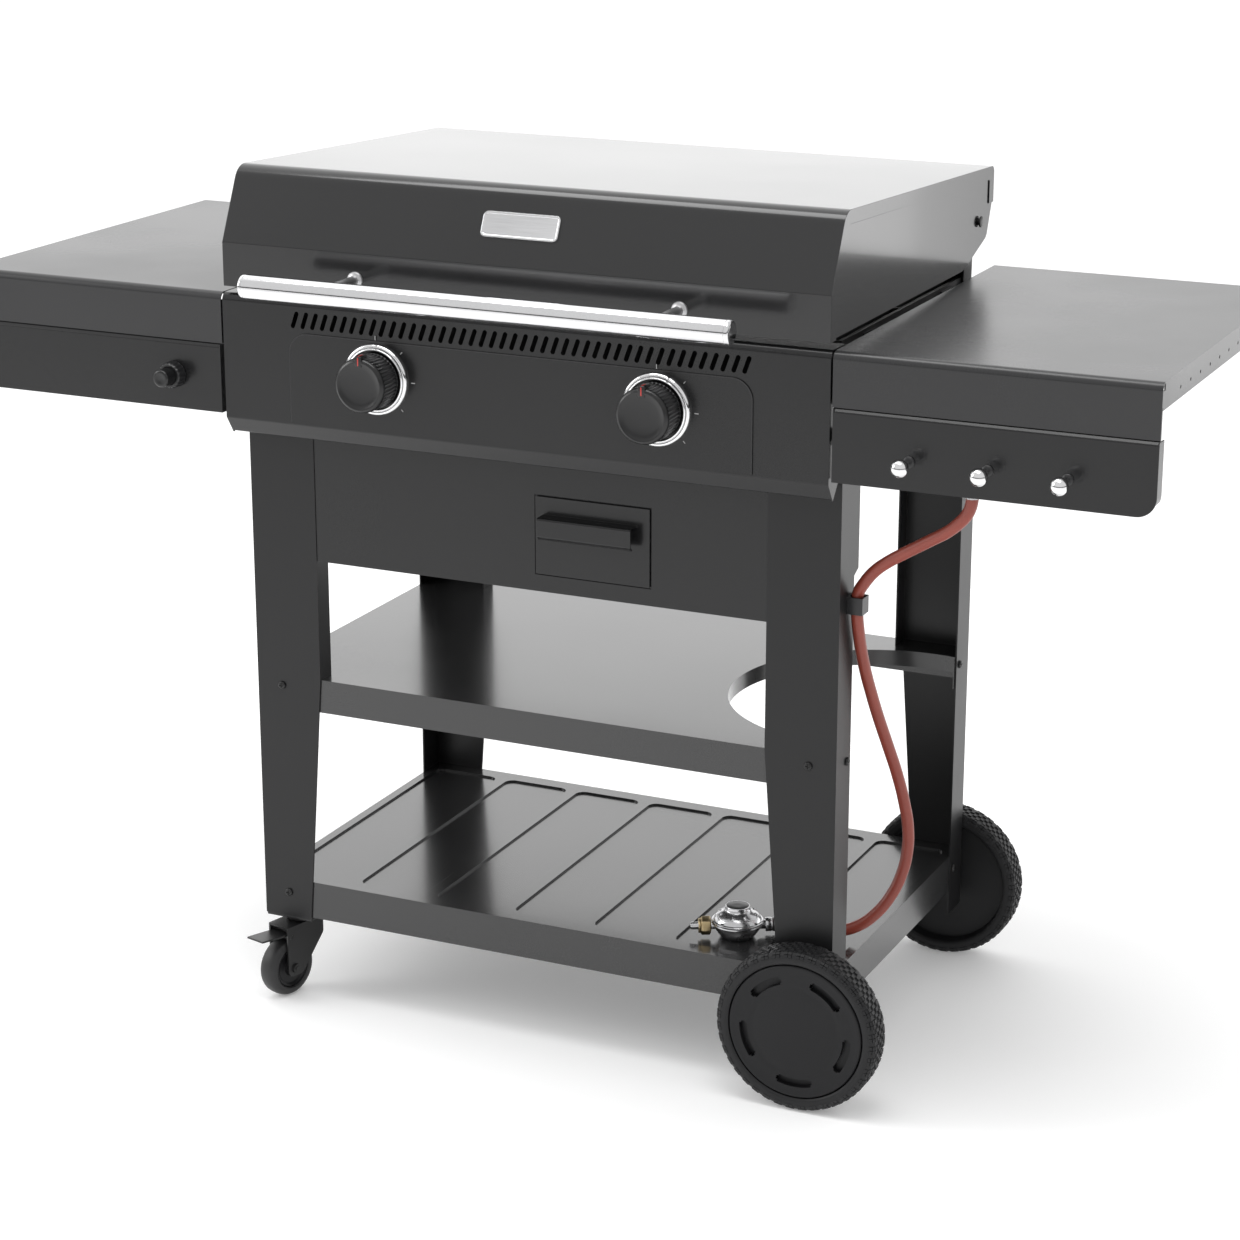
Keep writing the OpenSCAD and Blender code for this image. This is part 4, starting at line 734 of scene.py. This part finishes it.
knobLook = {
    "radius": 32 * mm,
    "length": 36 * mm,
    "flutes": 44,
    "fluteDepth": 1.0 * mm,
    "pointerWidth": 9 * mm,
    "pointerTop": 35 * mm,
    "lineWidth": 1.5 * mm,
    "bezelRadius": 42 * mm,
    "bezelBore": 34.5 * mm,
    "markStart": 46 * mm,
    "marks": ((0, 1.1 * mm, 5 * mm), (-90, 1.1 * mm, 5 * mm),  # degrees, width and length
              (-135, 0.8 * mm, 3.5 * mm), (-45, 0.8 * mm, 3.5 * mm)),
}


def knobMiddle(side):  # centre of the knob's back
    low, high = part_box("knob_" + side)
    return Vector(((low.x + high.x) / 2, high.y, low.z + knobLook["radius"]))


def flutedKnob():
    r, l = knobLook["radius"], knobLook["length"]
    steps = knobLook["flutes"] * 4
    shape = spun([(r - 4 * mm, 6 * mm), (r - 4 * mm, 0), (r - 0.6 * mm, 0), (r, 0.6 * mm), (r, 1.6 * mm),
                  (r, 28.5 * mm), (r - 0.1 * mm, 31 * mm), (r - 0.9 * mm, 33.4 * mm), (r - 2.4 * mm, 35.2 * mm),
                  (r - 4.2 * mm, l - 0.1 * mm), (r - 5.4 * mm, l - 0.3 * mm), (r - 6.6 * mm, l - 1 * mm),
                  (r - 12 * mm, l - 1.9 * mm), (r - 22 * mm, l - 2.4 * mm), (0, l - 2.5 * mm)], steps)
    for vert in shape.verts:
        step = round(stepAt(vert.co, steps))
        if step % 4 in (1, 2) and 1 * mm < vert.co.z < 30 * mm and vert.co.xy.length > r - 1 * mm:
            vert.co.xy *= 1 - knobLook["fluteDepth"] / r
    return shape


def makeKnob(side):
    l, half = knobLook["length"], knobLook["pointerWidth"] / 2
    middle = knobMiddle(side)
    tab = block((-half, 22 * mm, l - 16 * mm), (half, knobLook["pointerTop"], l), 1.6 * mm, 3)
    knob = place(joinShapes([flutedKnob(), tab]), middle, (0, -1, 0), (1, 0, 0))
    finishPiece(knob, side + "Knob", "knobPlastic", "burner_knob_" + side, ["knob_" + side], sharp=30)
    line = block((-knobLook["lineWidth"] / 2, 24 * mm, l - 1 * mm),
                 (knobLook["lineWidth"] / 2, knobLook["pointerTop"] - 1.4 * mm, l + 0.12 * mm), 0.2 * mm)
    over = block((-knobLook["lineWidth"] / 2, knobLook["pointerTop"] - 1 * mm, l - 12 * mm),
                 (knobLook["lineWidth"] / 2, knobLook["pointerTop"] + 0.12 * mm, l - 1.5 * mm), 0.2 * mm)
    line = place(joinShapes([line, over]), middle, (0, -1, 0), (1, 0, 0))
    finishPiece(line, side + "KnobLine", "pointerRed", "burner_knob_" + side)


def makeBezels():
    r, bore = knobLook["bezelRadius"], knobLook["bezelBore"]
    shapes = []
    for side in ("left", "right"):
        middle = knobMiddle(side)
        middle.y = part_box("knob_bezels")[1].y
        ring = spun([(bore, 0), (r, 0), (r, 1.6 * mm), (r - 0.5 * mm, 3.2 * mm), (r - 1.7 * mm, 4.8 * mm),
                     (r - 3.2 * mm, 5.5 * mm), (r - 4.4 * mm, 5.2 * mm), (r - 4.9 * mm, 4.3 * mm),
                     (r - 5.4 * mm, 5.4 * mm), (r - 6.2 * mm, 5.95 * mm), (bore + 0.5 * mm, 5.9 * mm),
                     (bore, 5.2 * mm)], 96, closed=True)
        shapes.append(place(ring, middle, (0, -1, 0), (1, 0, 0)))
    finishPiece(joinShapes(shapes), "knobBezels", "chrome", "cart", ["knob_bezels"], sharp=60)


def makeMarks():  # printed ticks for off, high and low
    shapes = []
    for side in ("left", "right"):
        middle = knobMiddle(side)
        middle.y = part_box("knob_bezels")[1].y
        for angle, width, length in knobLook["marks"]:
            start = knobLook["markStart"]
            tick = block((-width / 2, start, -0.1 * mm), (width / 2, start + length, 0.08 * mm))
            bmesh.ops.rotate(tick, cent=(0, 0, 0), matrix=Matrix.Rotation(radians(angle), 3, "Z"), verts=tick.verts)
            shapes.append(place(tick, middle, (0, -1, 0), (1, 0, 0)))
    finishPiece(joinShapes(shapes), "knobMarks", "markingGrey", "cart")


# Igniter button and its ribbed collar

igniterLook = {
    "collar": 16 * mm,
    "collarLength": 14 * mm,
    "ribs": 20,
    "ribDepth": 0.05,  # share of the radius
    "thread": 12.4 * mm,
    "button": 10.5 * mm,
}


def makeIgniter():
    low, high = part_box("igniter_button")
    middle = Vector(((low.x + high.x) / 2, 0, (low.z + high.z) / 2))
    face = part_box("table_apron_left")[0].y
    r, l, hole = igniterLook["collar"], igniterLook["collarLength"], igniterLook["button"] + 0.2 * mm
    thread = igniterLook["thread"]
    steps = igniterLook["ribs"] * 4
    collar = spun([(hole, -6 * mm), (thread, -6 * mm), (thread, 0.1 * mm), (r - 0.8 * mm, 0.1 * mm),
                   (r, 1 * mm), (r, 2.4 * mm), (r - 0.5 * mm, l - 3 * mm), (r - 1.1 * mm, l - 1.2 * mm),
                   (r - 2.6 * mm, l), (hole + 0.8 * mm, l), (hole, l - 0.8 * mm)], steps, closed=True)
    for vert in collar.verts:
        step = round(stepAt(vert.co, steps))
        if step % 4 in (1, 2) and 1.6 * mm < vert.co.z < l - 0.5 * mm and vert.co.xy.length > r - 1.4 * mm:
            vert.co.xy *= 1 - igniterLook["ribDepth"]
    place(collar, (middle.x, face, middle.z), (0, -1, 0))
    tail = spun([(0, 0), (thread, 0), (thread, 36 * mm), (thread - 1 * mm, 37.5 * mm), (0, 37.5 * mm)], 48)
    place(tail, (middle.x, face + 7 * mm, middle.z), (0, 1, 0))
    nut = spun([(12.5 * mm, 0), (17.4 * mm, 0), (19 * mm, 1 * mm), (19 * mm, 5 * mm), (17.4 * mm, 6 * mm),
                (12.5 * mm, 6 * mm)], 6, closed=True)
    place(nut, (middle.x, face + 1.6 * mm, middle.z), (0, 1, 0))
    finishPiece(joinShapes([collar, tail, nut]), "igniterHousing", "blackPlastic", "cart",
                ["igniter_housing"], sharp=30)
    b = igniterLook["button"]
    long = high.y - low.y
    button = spun([(0, 0), (b, 0), (b, long - 2.6 * mm), (b - 0.4 * mm, long - 1.2 * mm),
                   (b - 1.6 * mm, long - 0.3 * mm), (b - 3 * mm, long), (b - 5 * mm, long - 0.5 * mm),
                   (0, long - 0.9 * mm)], 64)
    place(button, (middle.x, high.y, middle.z), (0, -1, 0))
    finishPiece(button, "igniterButton", "knobPlastic", "push_button", ["igniter_button"], sharp=50)


# Tool hooks: a ball on a stem with a collar

hookLook = {
    "ball": 10 * mm,
    "stem": 3.5 * mm,
    "collar": 6.5 * mm,
}


def makeHooks():
    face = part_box("table_apron_right")[0].y
    balls, collars = [], []
    for low, high in looseBoxes("tool_hooks"):
        middle = (low + high) / 2
        reach = face - low.y
        r, s = hookLook["ball"], hookLook["stem"]
        arc = [(r * sin(pi * i / 24), reach - r - r * cos(pi * i / 24)) for i in range(3, 24)]
        shape = spun([(0, -7 * mm), (s, -7 * mm), (s, arc[0][1] - 0.6 * mm)] + arc + [(0, reach)], 64)
        balls.append(place(shape, (middle.x, face, middle.z), (0, -1, 0)))
        c = hookLook["collar"]
        ring = spun([(s + 0.02 * mm, 0), (c, 0), (c, 1.4 * mm), (c - 0.8 * mm, 2.4 * mm), (s + 0.6 * mm, 3 * mm),
                     (s + 0.02 * mm, 3 * mm)], 40, closed=True)
        collars.append(place(ring, (middle.x, face, middle.z), (0, -1, 0)))
    finishPiece(joinShapes(balls), "toolHooks", "chrome", "cart", ["tool_hooks"], sharp=40)
    finishPiece(joinShapes(collars), "toolHookCollars", "blackPlastic", "cart")


# Handle of the hood

handleLook = {
    "wall": 1.5 * mm,
    "post": 5.5 * mm,
    "foot": 10 * mm,
}


def makeHandle():
    low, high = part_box("handle_tube")
    r = (high.z - low.z) / 2
    middle = (low + high) / 2
    half = (high.x - low.x) / 2
    tube = spun([(r - handleLook["wall"], 0), (r - 0.3 * mm, 0), (r, 0.3 * mm), (r, 2 * half - 0.3 * mm),
                 (r - 0.3 * mm, 2 * half), (r - handleLook["wall"], 2 * half)], 96, closed=True)
    place(tube, (low.x, middle.y, middle.z), (1, 0, 0))
    finishPiece(tube, "handleTube", "polishedSteel", "hood", ["handle_tube"])
    caps = []
    for side in (-1, 1):
        cap = spun([(0, -7 * mm), (r - 1.7 * mm, -7 * mm), (r - 1.7 * mm, 0), (r - 0.3 * mm, 0.05 * mm),
                    (r, 0.4 * mm), (r, 2.6 * mm), (r - 0.6 * mm, 4.2 * mm), (r - 2.2 * mm, 5.3 * mm),
                    (r - 5 * mm, 5.8 * mm), (0, 6 * mm)], 72)
        caps.append(place(cap, (side * half, middle.y, middle.z), (side, 0, 0)))
    finishPiece(joinShapes(caps), "handleCaps", "polishedSteel", "hood", ["handle_caps"])
    posts = []
    for low, high in looseBoxes("handle_posts"):
        reach = high.y - middle.y
        p, f = handleLook["post"], handleLook["foot"]
        post = spun([(0, 0), (f, 0), (f, 1.4 * mm), (f - 0.8 * mm, 2.6 * mm), (p + 1.6 * mm, 3.2 * mm),
                     (p + 0.3 * mm, 4.2 * mm), (p, 6 * mm), (p, reach - 12.8 * mm), (0, reach - 12.8 * mm)], 48)
        posts.append(place(post, ((low.x + high.x) / 2, high.y, middle.z), (0, -1, 0)))
    finishPiece(joinShapes(posts), "handlePosts", "zincSteel", "hood", ["handle_posts"])


# Plain badge on the hood

badgeLook = {
    "width": 96 * mm,
    "height": 30 * mm,
    "thickness": 2 * mm,
    "corner": 6 * mm,
    "rim": 2.2 * mm,
    "recess": 0.7 * mm,
    "lean": 25.2,  # degrees, as the hood's upper face
}


def makeBadge():
    low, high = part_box("hood_badge")
    w, h, t = badgeLook["width"] / 2, badgeLook["height"] / 2, badgeLook["thickness"]
    lean = radians(badgeLook["lean"])
    shape = block((-w, -h, 0.05 * mm), (w, h, t))
    corners = [e for e in shape.edges if abs(e.verts[0].co.z - e.verts[1].co.z) > 1 * mm]
    bmesh.ops.bevel(shape, geom=corners, offset=badgeLook["corner"], offset_type="OFFSET", affect="EDGES", segments=8,
                    profile=0.5, material=-1)
    top = [f for f in shape.faces if f.normal.z > 0.9]
    bmesh.ops.inset_region(shape, faces=top, thickness=badgeLook["rim"], depth=0)
    bmesh.ops.inset_region(shape, faces=top, thickness=0.8 * mm, depth=-badgeLook["recess"])
    bevelSharp(shape, 0.3 * mm, angle=30)
    normal = Vector((0, -cos(lean), sin(lean)))
    middle = (low + high) / 2 - normal * t / 2
    place(shape, middle, normal, (1, 0, 0))
    finishPiece(shape, "hoodBadge", "badgeMetal", "hood", ["hood_badge"])


# Screws and pins

screwLook = {
    "head": 5 * mm,
    "headHeight": 2.5 * mm,
    "recess": 2.7 * mm,
    "recessDepth": 1.3 * mm,
    "recessWaist": 0.36,
    "shank": 2.45 * mm,
    "shankLength": 8 * mm,
    "shankReach": 11 * mm,
}


def crossHead():
    r, h, deep = screwLook["head"], screwLook["headHeight"], screwLook["recessDepth"]
    steps = 24
    cut = screwLook["recess"]
    shape = spun([(0, h - deep), (cut, h - deep), (cut, h), (3.6 * mm, h - 0.1 * mm), (4.5 * mm, h - 0.6 * mm),
                  (r, h - 1.7 * mm), (r, 0), (0, 0)], steps)
    for vert in shape.verts:
        step = round(stepAt(vert.co, steps))
        if abs(vert.co.xy.length - cut) < 0.01 * mm and step % 6 in (2, 3, 4):
            vert.co.xy *= screwLook["recessWaist"]
    return shape


def makeScrews():
    heads, shanks = [], []
    for low, high in looseBoxes("leg_screws"):
        size, middle = high - low, (low + high) / 2
        axis = 0 if size.x > size.y else 1
        out = Vector((0, 0, 0))
        out[axis] = 1 if middle[axis] > 0 else -1
        tip = middle + out * size[axis] / 2
        heads.append(place(crossHead(), tip - out * screwLook["headHeight"], out))
        s, l = screwLook["shank"], screwLook["shankLength"]
        shank = spun([(0, 0), (1.6 * mm, 0), (s, 1 * mm), (s, l), (0, l)], 20)
        shanks.append(place(shank, tip - out * screwLook["shankReach"], out))
    finishPiece(joinShapes(heads + shanks), "legScrews", "blackSteel", "cart", ["leg_screws"])
    pins = []
    for low, high in looseBoxes("hinge_pins"):
        middle = (low + high) / 2
        side = 1 if middle.x > 0 else -1
        out = Vector((side, 0, 0))
        tip = Vector((high.x if side > 0 else low.x, middle.y, middle.z))
        inner = Vector((low.x if side > 0 else high.x, middle.y, middle.z))
        long = (tip - inner).length
        pin = spun([(0, 0), (3.4 * mm, 0), (4 * mm, 0.6 * mm), (4 * mm, 7 * mm), (6 * mm, 7 * mm),
                    (6 * mm, 12.5 * mm), (4 * mm, 12.5 * mm), (4 * mm, long - 3 * mm), (6.6 * mm, long - 3 * mm),
                    (7 * mm, long - 2.4 * mm), (6.4 * mm, long - 1 * mm), (4 * mm, long - 0.2 * mm), (0, long)], 48)
        pins.append(place(pin, inner, out))
    finishPiece(joinShapes(pins), "hingePins", "blackSteel", "cart", ["hinge_pins"])


# Big wheels: lugged tyre and slotted cap

wheelLook = {
    "radius": 100 * mm,
    "width": 40 * mm,
    "lugHeight": 1.7 * mm,
    "lugSteps": 120,
    "hubReach": 4.5 * mm,  # how far the hub reaches in past the tyre
    "capRadius": 82 * mm,
    "capWall": 2 * mm,
    "capSteps": 180,
    "capSlots": 5,
    "slotIn": 59 * mm,
    "slotOut": 69 * mm,
    "slotEnd": 2.5 * mm,
    "slotFrom": 8,  # steps of the cap
    "slotTo": 28,
    "slotDepth": 7 * mm,
}


def makeTyre(end):
    low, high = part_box("wheel_" + end)
    outward = -1 if end == "front" else 1
    inner = (high.y if end == "front" else low.y) + outward * wheelLook["hubReach"]
    r, w, lug = wheelLook["radius"], wheelLook["width"], wheelLook["lugHeight"]
    tread = r - lug
    edge = [(tread, w - 8 * mm), (tread - 0.6 * mm, w - 4.6 * mm), (tread - 3 * mm, w - 2 * mm),
            (tread - 6.4 * mm, w - 0.6 * mm), (tread - 10 * mm, w), (86 * mm, w), (84.6 * mm, w - 0.6 * mm),
            (83.2 * mm, w - 2 * mm), (83 * mm, w - 12 * mm), (77 * mm, w - 13 * mm), (76 * mm, w - 17 * mm),
            (21 * mm, w - 17 * mm), (18 * mm, w - 12.4 * mm), (5.08 * mm, w - 12.4 * mm), (5.08 * mm, -4.5 * mm),
            (18 * mm, -4.5 * mm), (22 * mm, 14 * mm), (80 * mm, 14 * mm), (83 * mm, 2 * mm), (84.6 * mm, 0.6 * mm),
            (86 * mm, 0), (tread - 10 * mm, 0), (tread - 6.4 * mm, 0.6 * mm), (tread - 3 * mm, 2 * mm),
            (tread - 0.6 * mm, 4.6 * mm), (tread, 8 * mm), (tread, 14 * mm), (tread, 20 * mm), (tread, 26 * mm)]
    steps = wheelLook["lugSteps"]
    shape = spun(edge, steps, closed=True)
    lugs, shoulders = [], []
    for face in shape.faces:
        middle = face.calc_center_median()
        reach = middle.xy.length
        step = int(stepAt(middle, steps))
        band = int((middle.z - 8 * mm) / (6 * mm)) if middle.z > 8 * mm else 0
        if reach > tread - 0.2 * mm:
            if (step + band) % 2 == 0:
                lugs.append(face)
        elif reach > tread - 5 * mm and step % 3:
            shoulders.append(face)
    bmesh.ops.inset_individual(shape, faces=lugs, thickness=0.5 * mm, depth=lug - 0.15 * mm, use_even_offset=True)
    bmesh.ops.inset_individual(shape, faces=shoulders, thickness=0.3 * mm, depth=0.9 * mm, use_even_offset=True)
    place(shape, ((low.x + high.x) / 2, inner, (low.z + high.z) / 2), (0, outward, 0))
    finishPiece(shape, end + "Tyre", "wheelPlastic", "big_wheel_" + end, ["wheel_" + end], sharp=30)


def makeWheelCap(end):
    low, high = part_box("wheel_cap_" + end)
    outward = -1 if end == "front" else 1
    face = low.y if end == "front" else high.y
    steps = wheelLook["capSteps"]
    r, a, b, rest = (wheelLook[key] for key in ("capRadius", "slotIn", "slotOut", "slotEnd"))
    shape = spun([(0, 0), (20 * mm, -0.2 * mm), (36 * mm, -0.7 * mm), (46 * mm, -1.3 * mm), (51 * mm, -1.9 * mm),
                  (54 * mm, -2.2 * mm), (57 * mm, -1.8 * mm), (a, -1.6 * mm), (a + rest, -1.6 * mm),
                  (b - rest, -1.6 * mm), (b, -1.6 * mm), (73 * mm, -1.4 * mm), (77 * mm, -0.9 * mm),
                  (79 * mm, -0.6 * mm), (r - 1.4 * mm, -0.9 * mm), (r - 0.3 * mm, -2 * mm), (r, -3.6 * mm),
                  (r, -12 * mm)], steps)
    pitch = steps // wheelLook["capSlots"]
    slots = []
    for piece in shape.faces:
        middle = piece.calc_center_median()
        reach = middle.xy.length
        step = int(stepAt(middle, steps)) % pitch
        trim = 1 if reach < a + rest or reach > b - rest else 0  # shortened rows round the slot's ends
        if a < reach < b and wheelLook["slotFrom"] + trim <= step < wheelLook["slotTo"] - trim:
            slots.append(piece)
    walls = bmesh.ops.extrude_face_region(shape, geom=slots)
    moved = [v for v in walls["geom"] if isinstance(v, bmesh.types.BMVert)]
    bmesh.ops.translate(shape, vec=(0, 0, -wheelLook["slotDepth"]), verts=moved)
    bmesh.ops.delete(shape, geom=slots, context="FACES")
    bmesh.ops.recalc_face_normals(shape, faces=shape.faces)
    place(shape, ((low.x + high.x) / 2, face, (low.z + high.z) / 2), (0, outward, 0))
    piece = finishPiece(shape, end + "WheelCap", "capPlastic", "big_wheel_" + end,
                        ["wheel_cap_" + end], sharp=32)
    wall = piece.modifiers.new("wall", "SOLIDIFY")
    wall.thickness = wheelLook["capWall"]
    wall.offset = -1


# Caster wheels

casterLook = {
    "radius": 37.5 * mm,
    "halfWidth": 13 * mm,
    "hubRadius": 26 * mm,
    "turn": 15,  # degrees
}


def makeCasterWheel(end):
    low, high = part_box("caster_wheel_" + end)
    middle = (low + high) / 2
    turn = radians(casterLook["turn"])
    axis = Vector((cos(turn), -sin(turn), 0))
    r, w, hub = casterLook["radius"], casterLook["halfWidth"], casterLook["hubRadius"]
    side = [(r, 0), (r - 0.2 * mm, 4 * mm), (r - 0.9 * mm, 7.6 * mm), (r - 2.4 * mm, 10.4 * mm),
            (r - 4.8 * mm, 12.2 * mm), (r - 7.4 * mm, w - 0.1 * mm), (hub + 1.6 * mm, w - 0.2 * mm),
            (hub + 0.2 * mm, w - 1.6 * mm), (hub, w - 4 * mm)]
    tread = spun(side + [(p, -h) for p, h in reversed(side[1:])], 96, closed=True)
    place(tread, middle, axis)
    finishPiece(tread, end + "CasterTread", "rollerRubber", "roller_" + end,
                ["caster_wheel_" + end])
    half = [(hub, 5 * mm), (hub - 0.2 * mm, 10.4 * mm), (hub - 1.4 * mm, 11.2 * mm), (hub - 3 * mm, 10.6 * mm),
            (hub - 5 * mm, 8.8 * mm), (14 * mm, 8.4 * mm), (12 * mm, 9.2 * mm), (11 * mm, 12.6 * mm),
            (10 * mm, w), (3.08 * mm, w)]
    centre = spun(half + [(p, -h) for p, h in reversed(half)], 96, closed=True)
    place(centre, middle, axis)
    finishPiece(centre, end + "CasterHub", "capPlastic", "roller_" + end)


makeCamera()
makeWorld()
makeFloor()
for name, values in softBoxes.items():
    softBox(name, *values)
bpy.context.scene.view_settings.view_transform = "Standard"
hose = makeHose()
ferrules = makeFerrules()
makeRegulator()
print("camera, studio, hose and regulator made")
makeSheets()
makeBottomShelf()
makePanelShadeStrip()
for side in ("left", "right"):
    makeTable(side)
print("frame, firebox, tables and hood made")
for side in ("left", "right"):
    makeKnob(side)
makeBezels()
makeMarks()
makeIgniter()
makeHooks()
makeHandle()
makeBadge()
makeScrews()
print("controls, handle and fasteners made")
for end in ("front", "rear"):
    makeTyre(end)
    makeWheelCap(end)
    makeCasterWheel(end)
print("wheels made")
